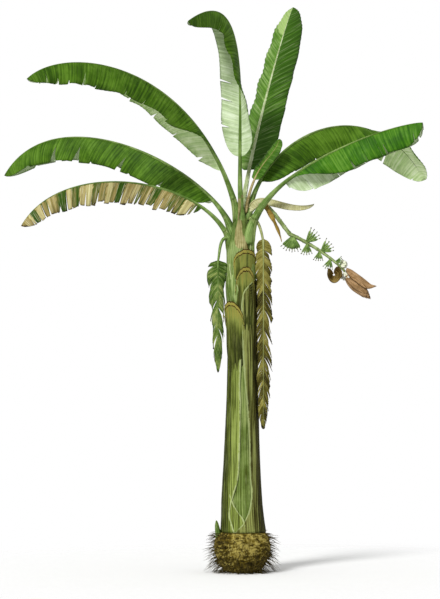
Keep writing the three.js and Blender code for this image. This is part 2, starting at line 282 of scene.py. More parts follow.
class Surface:
    """A mesh in the making, with its pattern coordinates and its attributes."""

    def __init__(self) -> None:
        """Starts an empty mesh."""
        self.mesh = bmesh.new()
        layers = self.mesh.verts.layers.float
        for name in PATTERN:
            layers.new(name)
        self.layer = {name: layers.get(name) for name in PATTERN}

    def grid(
        self, rows: int, columns: int, spot_at: SpotAt, flip: bool = False, finish: int = 0
    ) -> Faces:
        """Adds a grid of faces.

        Args:
            rows: Faces along the first share.
            columns: Faces along the second share.
            spot_at: Gives the spot at two shares from 0 to 1.
            flip: Turns the faces round.
            finish: The material slot of the faces.

        Returns:
            The new faces.
        """
        made = bmesh.ops.create_grid(self.mesh, x_segments=rows, y_segments=columns, size=0.5)
        faces = list(dict.fromkeys(face for vert in made["verts"] for face in vert.link_faces))
        for vert in made["verts"]:
            vert.co, *pattern = spot_at(vert.co.x + 0.5, vert.co.y + 0.5)
            for name, value in zip(PATTERN, pattern):
                vert[self.layer[name]] = value
        for face in faces:
            face.material_index = finish
        if flip:
            bmesh.ops.reverse_faces(self.mesh, faces=faces)
        return faces

    def tube(
        self, rows: int, sides: int, spot_at: SpotAt, girth: float, finish: int = 0
    ) -> Faces:
        """Adds a tube whose seam is welded and whose ends close where spot_at draws them to a point.

        Args:
            rows: Faces along the tube.
            sides: Faces round it.
            spot_at: Gives the spot at a share along the tube and a share round it.
            girth: The metres that the pattern takes round the tube.
            finish: The material slot of the faces.

        Returns:
            The faces that are left after the weld.
        """
        faces = self.grid(rows, sides, spot_at, finish=finish)
        verts = list(dict.fromkeys(vert for face in faces for vert in face.verts))
        for vert in verts:
            vert[self.layer["girth"]] = girth
        bmesh.ops.remove_doubles(self.mesh, verts=verts, dist=WELD)
        faces = [face for face in faces if face.is_valid]
        bmesh.ops.recalc_face_normals(self.mesh, faces=faces)
        return faces

    def weld(self) -> None:
        """Joins the points that lie together."""
        bmesh.ops.remove_doubles(self.mesh, verts=self.mesh.verts[:], dist=WELD)

    def thicken(
        self, faces: Faces, wall: float, under: int | None = None
    ) -> None:
        """Gives open faces a wall behind them.

        Args:
            faces: The faces of the sheet, which stay its outer side.
            wall: The wall's thickness.
            under: The material slot of the new inner side, or None for the same.
        """
        self.mesh.normal_update()
        behind = {vert: vert.co - vert.normal * wall for face in faces for vert in face.verts}
        bmesh.ops.extrude_face_region(self.mesh, geom=faces, use_keep_orig=True)
        for vert, place in behind.items():
            vert.co = place
        bmesh.ops.reverse_faces(self.mesh, faces=faces)
        if under is not None:
            for face in faces:
                face.material_index = under

    def shell(
        self, rows: int, columns: int, spot_at: SpotAt, wall: float, under: int | None = None,
        flip: bool = True,
    ) -> None:
        """Adds a grid with a wall behind it, as grid and thicken do."""
        self.thicken(self.grid(rows, columns, spot_at, flip=flip), wall, under)

    def _write_pattern(self) -> None:
        """Writes the UV map from the metres across and along the fibres."""
        chart = self.mesh.loops.layers.uv.new("fibres")
        across, along, girth = (self.layer[name] for name in ("across", "along", "girth"))
        for face in self.mesh.faces:
            face.smooth = True
            furthest = max(vert[across] for vert in face.verts)
            for loop in face.loops:
                vert = loop.vert
                wrapped = vert[girth] > 0 and furthest - vert[across] > vert[girth] / 2
                loop[chart].uv = (vert[across] + (vert[girth] if wrapped else 0), vert[along])

    def piece(
        self, name: str, finishes: Sequence["Finish"], slot: Slot, *nodes: str
    ) -> Piece:
        """Makes the object and rides it on the plant's body.

        Args:
            name: The piece's name.
            finishes: The finish of each material slot.
            slot: Not used.
            *nodes: The frame's nodes that the piece stands for.

        Returns:
            The finished object.
        """
        self._write_pattern()
        mesh = bpy.data.meshes.new(name)
        self.mesh.to_mesh(mesh)
        self.mesh.free()
        for finish in finishes:
            mesh.materials.append(finish.material())
        made = put_in_scene(name, mesh)
        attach(made, BODY)
        if nodes:
            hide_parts(*nodes)
        LOG.info("%s: %d faces, stands for %s", name, len(mesh.polygons), ", ".join(nodes) or "no node")
        return made


# ---- Shader groups ----


def linear(code: str) -> tuple[float, float, float, float]:
    """Turns a colour code such as 4f701a into linear light.

    Args:
        code: Six hexadecimal digits.

    Returns:
        Red, green, blue and a full alpha.
    """
    parts = [int(code[start : start + 2], 16) / 255 for start in (0, 2, 4)]
    light = [part / 12.92 if part <= 0.04045 else ((part + 0.055) / 1.055) ** 2.4 for part in parts]
    return (light[0], light[1], light[2], 1.0)


class Graph:
    """Adds nodes to a node tree and joins them."""

    def __init__(self, tree: bpy.types.NodeTree) -> None:
        """Takes the tree to add to."""
        self.tree = tree

    def node(self, kind: str, inputs: dict | None = None, **settings: object) -> bpy.types.Node:
        """Adds a node.

        Args:
            kind: The node's type.
            inputs: For each input, by name or number, a value or the socket that feeds it.
            **settings: Properties of the node.

        Returns:
            The node.
        """
        made = self.tree.nodes.new(kind)
        for name, value in settings.items():
            setattr(made, name, value)
        for key, value in (inputs or {}).items():
            if isinstance(value, Socket):
                self.tree.links.new(value, made.inputs[key])
            else:
                made.inputs[key].default_value = value
        return made

    def sum(self, operation: str, first: object, second: object = 0.0) -> Socket:
        """Returns the result of a Math node."""
        return self.node("ShaderNodeMath", {0: first, 1: second}, operation=operation).outputs[0]

    def spread(
        self, value: object, low: float, high: float, to_low: float = 0.0, to_high: float = 1.0
    ) -> Socket:
        """Returns value with low to high spread smoothly over to_low to to_high."""
        inputs = {"Value": value, "From Min": low, "From Max": high, "To Min": to_low, "To Max": to_high}
        return self.node("ShaderNodeMapRange", inputs, interpolation_type="SMOOTHSTEP").outputs[0]

    def noise(self, place: object, scale: object, detail: float, roughness: float) -> Socket:
        """Returns the height of a noise texture at a place."""
        inputs = {"Vector": place, "Scale": scale, "Detail": detail, "Roughness": roughness}
        return self.node("ShaderNodeTexNoise", inputs).outputs[0]

    def blend(self, share: object, first: object, second: object) -> Socket:
        """Returns the colour a share of the way from first to second."""
        return self.node("ShaderNodeMix", {0: share, 6: first, 7: second}, data_type="RGBA").outputs[2]


class PatternGroup:
    """A shader node group, built once and then placed in any number of materials."""

    name = ""
    inputs: tuple[tuple[str, str], ...] = ()
    outputs: tuple[str, ...] = ()

    @classmethod
    def tree(cls) -> bpy.types.NodeTree:
        """Finds the group, or builds it on its first use.

        Returns:
            The group.
        """
        found = bpy.data.node_groups.get(cls.name)
        if found:
            return found
        made = bpy.data.node_groups.new(cls.name, "ShaderNodeTree")
        for socket, kind in cls.inputs:
            made.interface.new_socket(name=socket, in_out="INPUT", socket_type=kind)
        for socket in cls.outputs:
            made.interface.new_socket(name=socket, in_out="OUTPUT", socket_type="NodeSocketFloat")
        graph = Graph(made)
        taken = graph.node("NodeGroupInput").outputs
        graph.node("NodeGroupOutput", cls.fill(graph, taken))
        return made

    @classmethod
    def fill(cls, graph: Graph, taken: bpy.types.NodeOutputs) -> dict[str, Socket]:
        """Builds the group's nodes.

        Args:
            graph: The group's graph.
            taken: The group's input sockets.

        Returns:
            The socket that feeds each output.
        """
        raise NotImplementedError

    @classmethod
    def place(cls, graph: Graph, **inputs: object) -> bpy.types.NodeOutputs:
        """Places the group in a material's graph.

        Args:
            graph: The material's graph.
            **inputs: For each input, a value or the socket that feeds it.

        Returns:
            The group's outputs.
        """
        made = graph.node("ShaderNodeGroup", node_tree=cls.tree())
        for name, value in inputs.items():
            socket = made.inputs[name.replace("_", " ").capitalize()]
            if isinstance(value, Socket):
                graph.tree.links.new(value, socket)
            else:
                socket.default_value = value
        return made.outputs


class FibreGroup(PatternGroup):
    """Streaks and fine lines that run along the fibres."""

    name = "fibre_streaks"
    inputs = (
        ("Coordinates", "NodeSocketVector"),
        ("Spacing", "NodeSocketFloat"),
        ("Run", "NodeSocketFloat"),
    )
    outputs = ("Streaks", "Lines", "Height")

    @classmethod
    def fill(cls, graph: Graph, taken: bpy.types.NodeOutputs) -> dict[str, Socket]:
        """Reads stretched noise at two widths.

        Args:
            graph: The group's graph.
            taken: The group's input sockets.

        Returns:
            The socket that feeds each output.
        """
        finer = graph.sum("DIVIDE", 1.0, taken["Spacing"])
        longer = graph.sum("DIVIDE", 1.0, taken["Run"])
        scale = graph.node("ShaderNodeCombineXYZ", {0: finer, 1: longer, 2: 1.0}).outputs[0]
        stretched = graph.node(
            "ShaderNodeVectorMath", {0: taken["Coordinates"], 1: scale}, operation="MULTIPLY"
        ).outputs[0]
        broad = graph.noise(stretched, 1.0, 5.0, 0.62)
        fine = graph.noise(stretched, 3.3, 2.0, 0.5)
        streaks = graph.spread(broad, 0.3, 0.7)
        lines = graph.spread(fine, 0.54, 0.68)
        height = graph.sum("ADD", graph.sum("MULTIPLY", streaks, 0.5), graph.sum("MULTIPLY", lines, 0.5))
        return {"Streaks": streaks, "Lines": lines, "Height": height}


class MottleGroup(PatternGroup):
    """Soft patches of a stated size."""

    name = "mottling"
    inputs = (("Coordinates", "NodeSocketVector"), ("Size", "NodeSocketFloat"))
    outputs = ("Patches", "Grain")

    @classmethod
    def fill(cls, graph: Graph, taken: bpy.types.NodeOutputs) -> dict[str, Socket]:
        """Reads noise at the patch size and at a seventh of it.

        Args:
            graph: The group's graph.
            taken: The group's input sockets.

        Returns:
            The socket that feeds each output.
        """
        scale = graph.sum("DIVIDE", 1.0, taken["Size"])
        small = graph.sum("MULTIPLY", scale, 7.0)
        patches, grain = (graph.noise(taken["Coordinates"], size, 4.0, 0.6) for size in (scale, small))
        return {"Patches": graph.spread(patches, 0.34, 0.66), "Grain": graph.spread(grain, 0.3, 0.7)}


class WearGroup(PatternGroup):
    """A ragged mask that is full where the wear attribute is."""

    name = "worn_edges_and_ridge_highlights"
    inputs = (
        ("Wear", "NodeSocketFloat"),
        ("Grain", "NodeSocketFloat"),
        ("Amount", "NodeSocketFloat"),
    )
    outputs = ("Mask",)

    @classmethod
    def fill(cls, graph: Graph, taken: bpy.types.NodeOutputs) -> dict[str, Socket]:
        """Adds the grain to the wear and keeps what passes the amount.

        Args:
            graph: The group's graph.
            taken: The group's input sockets.

        Returns:
            The socket that feeds each output.
        """
        ragged = graph.sum("MULTIPLY", graph.sum("SUBTRACT", taken["Grain"], 0.5), 0.5)
        reached = graph.sum("ADD", graph.sum("ADD", taken["Wear"], ragged), taken["Amount"])
        live = graph.spread(taken["Wear"], 0.02, 0.12)
        return {"Mask": graph.sum("MULTIPLY", graph.spread(reached, 0.82, 1.1), live)}


# ---- Finishes ----


@dataclass(frozen=True)
class Finish:
    """A plant skin: three tones dealt by streaks, patches and strips, with lines and worn edges.

    spacing and run are the width and length of a streak, patch_size that of the patches.
    streak_part, patch_part and strip_part share out what picks the tone: contrast is how much
    of the range lies between dark and light, and extra is the tone beyond light. The worn
    edges take wear_and_highlight_tone; on the corm's skin they are painted highlights on its
    ridges.
    """

    name: str
    dark: str
    middle: str
    light: str
    line_tone: str
    wear_and_highlight_tone: str
    spacing: float
    run: float
    patch_size: float = 0.12
    streak_part: float = 0.5
    patch_part: float = 0.3
    strip_part: float = 0.2
    line_strength: float = 0.3
    wear_amount: float = 0.2
    roughness: float = 0.55
    relief: float = 0.0015
    contrast: float = 0.6
    extra: str = ""

    def material(self) -> bpy.types.Material:
        """Finds the material, or builds it on its first use.

        Returns:
            The material.
        """
        found = bpy.data.materials.get(self.name)
        if found:
            return found
        made = bpy.data.materials.new(self.name)
        made.use_nodes = True
        made.node_tree.nodes.clear()
        graph = Graph(made.node_tree)
        fibres = graph.node("ShaderNodeUVMap", uv_map="fibres").outputs[0]
        place = graph.node("ShaderNodeTexCoord").outputs["Object"]
        tone = graph.node("ShaderNodeAttribute", attribute_name="tone").outputs["Fac"]
        wear = graph.node("ShaderNodeAttribute", attribute_name="wear").outputs["Fac"]
        streaks, lines, height = FibreGroup.place(
            graph, coordinates=fibres, spacing=self.spacing, run=self.run
        )
        patches, grain = MottleGroup.place(graph, coordinates=place, size=self.patch_size)
        parts = [(streaks, self.streak_part), (patches, self.patch_part), (tone, self.strip_part)]
        weighed = [graph.sum("MULTIPLY", socket, part) for socket, part in parts]
        picked = graph.sum("ADD", graph.sum("ADD", weighed[0], weighed[1]), weighed[2])
        ramp = graph.node("ShaderNodeValToRGB", {"Fac": picked})
        ramp.color_ramp.elements[0].position = 0.5 - self.contrast / 2
        ramp.color_ramp.elements[0].color = linear(self.dark)
        ramp.color_ramp.elements[1].position = 1.0
        ramp.color_ramp.elements[1].color = linear(self.extra or self.light)
        ramp.color_ramp.elements.new(0.5 + self.contrast / 2).color = linear(self.light)
        ramp.color_ramp.elements.new(0.5).color = linear(self.middle)
        lined = graph.sum("MULTIPLY", lines, self.line_strength)
        colour = graph.blend(lined, ramp.outputs[0], linear(self.line_tone))
        worn = WearGroup.place(graph, wear=wear, grain=grain, amount=self.wear_amount)[0]
        colour = graph.blend(worn, colour, linear(self.wear_and_highlight_tone))
        rough = graph.spread(streaks, 0.0, 1.0, self.roughness + 0.08, self.roughness - 0.08)
        bump = graph.node("ShaderNodeBump", {"Height": height, "Distance": self.relief, "Strength": 0.8})
        shader = graph.node(
            "ShaderNodeBsdfPrincipled",
            {"Base Color": colour, "Roughness": rough, "Normal": bump.outputs[0]},
        )
        shader.inputs["Specular IOR Level"].default_value = 0.12
        graph.node("ShaderNodeOutputMaterial", {"Surface": shader.outputs[0]})
        return made


GREEN_TOP = Finish(
    "leaf_green_upper", "274800", "40650a", "5a8120", "7a9d42", "33470f", 0.016, 0.4, line_strength=0.25,
    wear_amount=0.0, roughness=0.6,
)
GREEN_UNDER = Finish(
    "leaf_green_under", "9fb483", "bccfa2", "d6e4c2", "e4edd6", "7f9062", 0.016, 0.4, line_strength=0.35,
    wear_amount=0.0, roughness=0.7,
)
# A lighter copy of leaf_green_under: painted light for the undersides that lie in shade.
UNDER_PAINTED_LIT = Finish(
    "leaf_under_painted_lit", "a8c682", "c9e0a2", "e8f5cc", "f0f8e0", "8ba06c", 0.016, 0.4, line_strength=0.35,
    wear_amount=0.0, roughness=0.7,
)
DEEP_TOP = Finish(
    "leaf_deep_upper", "225002", "386c08", "578620", "789e4c", "2b4a0c", 0.018, 0.4, line_strength=0.2,
    wear_amount=0.0, roughness=0.6,
)
# The wide light range carries the painted sheen on leaf_top_right's left half.
BRIGHT_TOP = Finish(
    "leaf_bright_upper", "33590c", "557f25", "9ab56c", "b9cc93", "3c5c16", 0.03, 0.5, streak_part=0.4,
    patch_part=0.1, strip_part=0.5, wear_amount=0.0, roughness=0.6,
)
YOUNG_TOP = Finish(
    "leaf_young_upper", "275002", "41690f", "678c36", "86a45e", "2b4a0c", 0.01, 0.25, wear_amount=0.0,
)
FADED_TOP = Finish(
    "leaf_faded_upper", "30500a", "93824c", "c6bf86", "e6e2bd", "3b2a0a", 0.022, 0.5, patch_size=0.25,
    streak_part=0.3, patch_part=0.1, strip_part=0.6, line_strength=0.45, wear_amount=0.14, roughness=0.75,
    relief=0.002, contrast=0.5,
)
FADED_UNDER = Finish(
    "leaf_faded_under", "8d8654", "b5ad78", "d6d3a6", "e8e9c8", "4d3a17", 0.016, 0.35, wear_amount=0.12,
    roughness=0.75,
)
DEAD_GREEN = Finish(
    "leaf_hanging_green", "253c02", "4f6c24", "9aa35c", "b2be8a", "1f1a08", 0.01, 0.12, patch_size=0.08,
    line_strength=0.4, wear_amount=0.22, roughness=0.7,
)
DEAD_OLIVE = Finish(
    "leaf_hanging_olive", "241f00", "5a5412", "9b944a", "bbb57a", "1c1607", 0.008, 0.12, patch_size=0.07,
    streak_part=0.4, patch_part=0.15, strip_part=0.45, line_strength=0.5, wear_amount=0.28, roughness=0.75,
)
STALK_GREEN = Finish(
    "stalk_green", "3c5a14", "638038", "94ad66", "b0c486", "9db573", 0.006, 0.3, patch_size=0.1,
    wear_amount=0.1,
)
STALK_PALE = Finish(
    "stalk_pale", "7a8a50", "a3b27c", "ccd8ae", "dfe6c8", "dfe6c8", 0.006, 0.3, wear_amount=0.3,
)
STALK_PINK = Finish(
    "stalk_pinkish", "5f5a30", "90804f", "b9a878", "d0bd97", "cdbb92", 0.005, 0.2,
)
RIB_OLIVE = Finish(
    "hanging_rib", "5d6a30", "8c9455", "b7bd80", "cfd3a0", "cfd3a0", 0.004, 0.2, roughness=0.65,
)
STEM_INNER = Finish(
    "stem_inner_sheath", "3f4a0c", "5f7430", "8b9a58", "a9b27a", "3a3a0c", 0.008, 0.5, patch_size=0.25,
    line_strength=0.4, roughness=0.6, relief=0.003, contrast=0.45,
)
STEM_LEFT = Finish(
    "stem_left_sheath", "262b00", "525e16", "8e9d4e", "9fac66", "a3ae76", 0.01, 0.6, patch_size=0.3,
    patch_part=0.1, strip_part=0.4, line_strength=0.45, relief=0.003, contrast=0.42,
)
# Darker than the left sheath: partly its own dark brown blotching, partly painted shade on the stem's right
# side, away from the key light.
STEM_RIGHT = Finish(
    "stem_right_sheath", "1b1800", "444310", "8b9250", "878b42", "9aa56c", 0.01, 0.6, patch_size=0.3,
    patch_part=0.1, strip_part=0.4, line_strength=0.4, roughness=0.6, relief=0.003, contrast=0.42,
)
CROWN_GREEN = Finish(
    "crown_sheath_green", "3c5713", "657c38", "98aa68", "b9c590", "b4c088", 0.007, 0.35, patch_size=0.15,
    line_strength=0.4, wear_amount=0.25, relief=0.002, contrast=0.5,
)
CROWN_DRY = Finish(
    "crown_sheath_dry", "5a5726", "8d8650", "bdb582", "d6d0a4", "6a5426", 0.007, 0.35, line_strength=0.4,
    roughness=0.7, relief=0.002, contrast=0.5,
)
OLD_SHEATH = Finish(
    "old_sheath_skin", "262c03", "4d561b", "7b843c", "9ea35c", "3d2c08", 0.009, 0.5, patch_size=0.1,
    streak_part=0.35, patch_part=0.1, strip_part=0.55, line_strength=0.4, wear_amount=0.25, roughness=0.7,
    relief=0.003, contrast=0.4, extra="968c3e",
)
# Its pale wear tone is the painted highlight on the corm's ridges.
CORM_SKIN = Finish(
    "corm_skin", "2a2203", "64540f", "b0a054", "9b905b", "b0a26a", 0.006, 0.08, patch_size=0.03,
    streak_part=0.25, patch_part=0.25, strip_part=0.5, line_strength=0.25, wear_amount=0.05, roughness=0.85,
    relief=0.005, contrast=0.5,
)
ROOT_SKIN = Finish(
    "hair_root_skin", "1c1703", "3b310b", "64582a", "9b905b", "8b7f4c", 0.002, 0.03, patch_size=0.05,
    line_strength=0.2, wear_amount=0.1, roughness=0.85,
)
FLOWER_STALK = Finish(
    "flower_stalk_skin", "556330", "849858", "b3c48a", "d2dbb4", "59592c", 0.004, 0.12, patch_size=0.05,
    wear_amount=0.1,
)
FRUIT_SKIN = Finish(
    "young_fruit_skin", "35521a", "5f7f36", "93ae62", "c4d29c", "b9c98c", 0.003, 0.06, patch_size=0.04,
    roughness=0.5,
)
STYLE_ENDS = Finish(
    "dry_style_ends", "1d160a", "33260f", "4d3a1c", "a9bc89", "1d160a", 0.002, 0.01, patch_size=0.01,
    line_strength=0.25, wear_amount=0.3, roughness=0.85,
)
FLOWER_SKIN = Finish(
    "flower_skin", "dbe0ba", "eef0d8", "faf9ec", "fffdf2", "e3d08e", 0.003, 0.03, patch_size=0.02,
    line_strength=0.4, wear_amount=0.1, roughness=0.5,
)
BUD_OUTER = Finish(
    "bud_bract_outer", "6f522c", "9f7d54", "c3a078", "d2b893", "3f2a10", 0.004, 0.12, patch_size=0.06,
    line_strength=0.35, wear_amount=0.35, roughness=0.6,
)
BUD_INNER = Finish(
    "bud_bract_inner", "3d2b05", "6d5a24", "a48d55", "b8a066", "c2a67c", 0.004, 0.12, patch_size=0.06,
    wear_amount=0.1, roughness=0.65,
)
FLAG_SKIN = Finish(
    "flag_bract_skin", "97945f", "b9b682", "d5d4ac", "e2e1c4", "7f8650", 0.005, 0.25, patch_size=0.1,
    line_strength=0.4, wear_amount=0.05, roughness=0.7,
)
DRY_BRACT_SKIN = Finish(
    "dry_bract_skin", "5f4a14", "8f7630", "b89c52", "cdb36c", "3f2f0c", 0.004, 0.12, patch_size=0.06,
    roughness=0.75,
)


# ---- Rods ----


@dataclass(frozen=True)
class Rod:
    """A tapering stalk along a rib line, channelled on its upper side where it carries a leaf.

    knots holds the radius at shares of the length, and channel how deep the upper side sinks as
    a share of the radius. sink lowers the middle below the line, as a share of the radius.
    """

    knots: Pairs
    channel: float = 0.0
    sink: Pairs = ((0.0, 0.0), (1.0, 0.0))
    sides: int = 14
    step: float = 0.02

    def add(self, surface: Surface, line: RibLine, roll: float = 0.0) -> None:
        """Adds the rod to a surface.

        Args:
            surface: The surface that takes it.
            line: The line that it follows.
            roll: The turn of its upper side.
        """
        rows = max(6, round(line.length / self.step))
        girth = FULL_TURN * max(radius for _, radius in self.knots)

        def spot_at(share: float, turn: float) -> Spot:
            """Lays out one spot.

            Args:
                share: Share of the line.
                turn: Share round or across.

            Returns:
                The spot.
            """
            radius = curve_through(self.knots, share)[0]
            frame = line.at(share, roll)
            if share in (0.0, 1.0):
                return Spot(frame.point, turn * girth, share * line.length)
            angle = turn * FULL_TURN
            hollow = 1 - self.channel * max(0.0, -cos(angle)) ** 5
            rough = 1 + 0.035 * ripple(share * line.length * 9, cos(angle) * 2, sin(angle) * 2)
            reach = max(0.0004, radius) * hollow * rough
            drop = curve_through(self.sink, share)[0] * radius
            place = frame.point + frame.left * (sin(angle) * reach)
            place -= frame.upper * (cos(angle) * reach + drop)
            lip = ease(-cos(angle), 0.15, 0.55) * (1 - ease(-cos(angle), 0.6, 0.85))
            wear = lip if self.channel else 0.0
            return Spot(place, turn * girth, share * line.length, wear=wear)

        surface.tube(rows, self.sides, spot_at, girth)


# ---- Leaves ----


@dataclass(frozen=True)
class Tear:
    """A tear in a half-blade: its share of the rib, how deep it runs from the margin, its gap."""

    share: float
    depth: float = 0.0
    gap: float = 0.0

    def opening(self, across: float) -> float:
        """Returns how far the tear has opened, from 0 at its inner end to 1 at the margin."""
        return max(0.0, across - 1 + self.depth) / self.depth if self.depth > 0 else 0.0


@dataclass(frozen=True)
class BladeForm:
    """The outline and the folds of a blade, with fold held as left and right halves' angles."""

    half_width: float
    taper: float
    fold: tuple[Pair, Pair, Pair]
    tip_blunt: float = 3.5
    opens: float = 0.3
    closes: Pair = (0.6, 1.0)
    end: float = 0.02

    def width_at(self, share: float) -> float:
        """Reads the outline.

        Args:
            share: Share of the blade's length.

        Returns:
            The half-width.
        """
        blunt = 5.5 if share < 0.5 else self.tip_blunt
        outline = dome(abs(2 * share - 1) ** blunt)
        return self.half_width * max(self.end, outline * (1 - self.taper * share))

    def fold_at(self, side: Side, share: float) -> float:
        """Reads how far a half droops from square to the rib.

        Args:
            side: The half.
            share: Share of the blade's length.

        Returns:
            The droop in degrees.
        """
        base, middle, tip = (pair[0 if side is Side.LEFT else 1] for pair in self.fold)
        opened = mix(base, middle, ease(share, 0.0, self.opens))
        return mix(opened, tip, ease(share, *self.closes))


@dataclass(frozen=True)
class Blade:
    """A leaf blade of two halves torn into strips that hang from its rib.

    tears_left and tears_right hold shares of the rib and depths. more_tears adds that many to
    each half. drop is how far a loose strip may hang below its half, wave how far the margin
    lifts and falls, and lean how far the veins run towards the tip, as a share of the rib.
    grows holds, for each half, the shares between which it widens from narrow to full, and
    half_tones_and_sheen what is added to its tone, which for one leaf is a painted sheen on the
    half that faces the light and a darker tone on the other. turn_over turns the tip about the
    rib where the folds close, in degrees. twin tears both halves at the same places.
    """

    form: BladeForm
    seed: int
    tears_left: Pairs = ()
    tears_right: Pairs = ()
    more_tears: int = 4
    more_depth: Pair = (0.15, 0.6)
    gap: float = 0.006
    drop: float = 9.0
    wave: float = 4.0
    waves: float = 5.0
    lean: float = 0.035
    arch: float = 16.0
    ragged: float = 0.05
    burn: float = 0.05
    row: float = 0.009
    columns: int = 10
    wall: float = 0.0022
    grows: tuple[Pair | None, Pair | None] = (None, None)
    half_tones_and_sheen: Pair = (0.0, 0.0)
    turn_over: float = 0.0
    twin: bool = False
    corrugation: float = 0.0016
    vein_step: float = 0.036

    def _tears(self, side: Side, rng: random.Random) -> list[Tear]:
        """Deals a half its named tears and its smaller ones.

        Args:
            side: The half.
            rng: The blade's random source.

        Returns:
            The tears in order, with the blade's two ends.
        """
        named = self.tears_left if side is Side.LEFT else self.tears_right
        tears = [Tear(share, depth, self.gap * rng.uniform(1.0, 1.6)) for share, depth in named]
        for spot in range(self.more_tears):
            share = (spot + rng.uniform(0.2, 0.8)) / self.more_tears
            depth = rng.uniform(*self.more_depth)
            if all(abs(share - tear.share) > 0.012 for tear in tears) and 0.015 < share < 0.985:
                tears.append(Tear(share, depth, self.gap * rng.uniform(0.1, 0.7)))
        return [Tear(0.0), *sorted(tears, key=lambda tear: tear.share), Tear(1.0)]

    def add(self, surface: Surface, line: RibLine, start: float = 0.0, roll: float = 0.0) -> None:
        """Adds the blade to a surface, with its under side as the second material.

        Args:
            surface: The surface that takes it.
            line: The rib's line.
            start: The share of the line where the blade begins.
            roll: The turn of its upper side.
        """
        rng = random.Random(self.seed)
        faces: Faces = []
        tears: list[Tear] = []
        for side in Side:
            if self.twin and tears:
                tears = [Tear(tear.share, min(1.0, tear.depth * 1.2), tear.gap * 1.6) for tear in tears]
            else:
                tears = self._tears(side, rng)
            for first, last in zip(tears, tears[1:]):
                faces += self._strip(surface, line, (start, roll), side, (first, last), rng)
        surface.weld()
        surface.thicken([face for face in faces if face.is_valid], self.wall, under=1)

    def _strip(
        self,
        surface: Surface,
        line: RibLine,
        seat: Pair,
        side: Side,
        tears: tuple[Tear, Tear],
        rng: random.Random,
    ) -> Faces:
        """Adds the strip between two tears.

        Args:
            surface: The surface that takes it.
            line: The rib's line.
            seat: The share of the line where the blade begins, and its roll.
            side: The half that it belongs to.
            tears: The tears on either side of it.
            rng: The blade's random source.

        Returns:
            The strip's faces.
        """
        first, last = tears
        start, roll = seat
        drop = self.drop * rng.uniform(-0.35, 1.0)
        twist = self.drop * rng.uniform(-0.5, 0.5)
        trim = self.ragged * rng.uniform(0.0, 1.0)
        half = 0 if side is Side.LEFT else 1
        # The half's added tone; on leaf_top_right it paints a sheen on the left half.
        tone = rng.random() + self.half_tones_and_sheen[half]
        phase = self.seed * 0.37 + side.value
        blade_length = line.length * (1 - start)
        sign = side.value
        grown = self.grows[half]
        span = (last.share - first.share) * blade_length
        seared = min(0.03, 0.25 * span)

        def spot_at(along: float, across: float) -> Spot:
            """Lays out one spot.

            Args:
                along: Share of the way along the strip.
                across: Share of the way from the rib to the margin.

            Returns:
                The spot.
            """
            opened = (first.opening(across), last.opening(across))
            low = first.share + first.gap * opened[0]
            high = last.share - last.gap * opened[1]
            share = mix(low, high, along)
            loose = mix(*opened, along)
            leant = min(1.0, share + self.lean * across * (1 - (2 * share - 1) ** 4))
            width = self.form.width_at(leant) * (1 - trim * loose)
            width *= 1 + self.ragged * 0.5 * ripple(share * 14, phase, 1.7)
            if grown:
                width *= mix(0.1, 1.0, ease(share, *grown))
            angle = self.form.fold_at(side, leant) + self.arch * (across - 0.6)
            angle += self.wave * across**2 * sin(FULL_TURN * (share * self.waves + phase))
            angle += drop * loose**1.5 + twist * loose * (2 * along - 1)
            turn = radians(angle)
            over = roll + self.turn_over * ease(leant, *self.form.closes)
            frame = line.at(start + (1 - start) * leant, over)
            lift = sin(FULL_TURN * share * blade_length / self.vein_step) * self.corrugation
            lift *= min(1.0, across * 5) * min(1.0, width / 0.05)
            out = width * across
            place = frame.point + frame.left * (sign * (out * cos(turn) + lift * sin(turn)))
            place += frame.upper * (lift * cos(turn) - out * sin(turn))
            edge = max(
                opened[0] * (1 - ease(along * span, 0.0, seared)),
                opened[1] * (1 - ease((1 - along) * span, 0.0, seared)),
            )
            wear = max(ease(across, 1 - self.burn, 1.0), 0.8 * edge)
            wear = max(wear, ease(leant, 0.96, 1.0))
            return Spot(place, share * blade_length, out, tone, wear)

        rows = max(3, round((last.share - first.share) * blade_length / self.row))
        return surface.grid(rows, self.columns, spot_at, flip=side is Side.RIGHT)


@dataclass(frozen=True)
class Leaf:
    """A leaf on its stalk: the stalk runs on as the rib, and the blade hangs on it."""

    name: str
    arch: Arch
    stalk: float
    stalk_radii: Pair
    blade: Blade
    upper: Finish = GREEN_TOP
    under: Finish = GREEN_UNDER
    stalk_skin: Finish = STALK_GREEN
    slot: Slot = Slot.LEAF
    roll: float = 0.0
    one_node: bool = False

    def build(self) -> list[Piece]:
        """Builds the stalk with its rib, and the blade.

        Returns:
            Both pieces.
        """
        line = self.arch.line()
        foot, neck = self.stalk_radii
        rod = Rod(
            knots=(
                (0.0, foot), (self.stalk * 0.5, mix(foot, neck, 0.6)), (self.stalk, neck),
                (mix(self.stalk, 1, 0.35), neck * 0.62), (mix(self.stalk, 1, 0.7), neck * 0.34), (1.0, 0.001),
            ),
            channel=0.42,
            sink=((0.0, 0.0), (self.stalk, 0.2), (mix(self.stalk, 1, 0.1), 0.42), (1.0, 0.5)),
            sides=16,
        )
        stem = Surface()
        rod.add(stem, line, self.roll)
        stalk = stem.piece(f"{self.name}_stalk_and_rib", [self.stalk_skin], Slot.STALK, f"{self.name}_stalk")
        sheet = Surface()
        self.blade.add(sheet, line, self.stalk, self.roll)
        nodes = [f"{self.name}_blade"] if self.one_node else [
            f"{self.name}_blade_inner", f"{self.name}_blade_outer"
        ]
        blade = sheet.piece(f"{self.name}_torn_blade", [self.upper, self.under], self.slot, *nodes)
        return [stalk, blade]


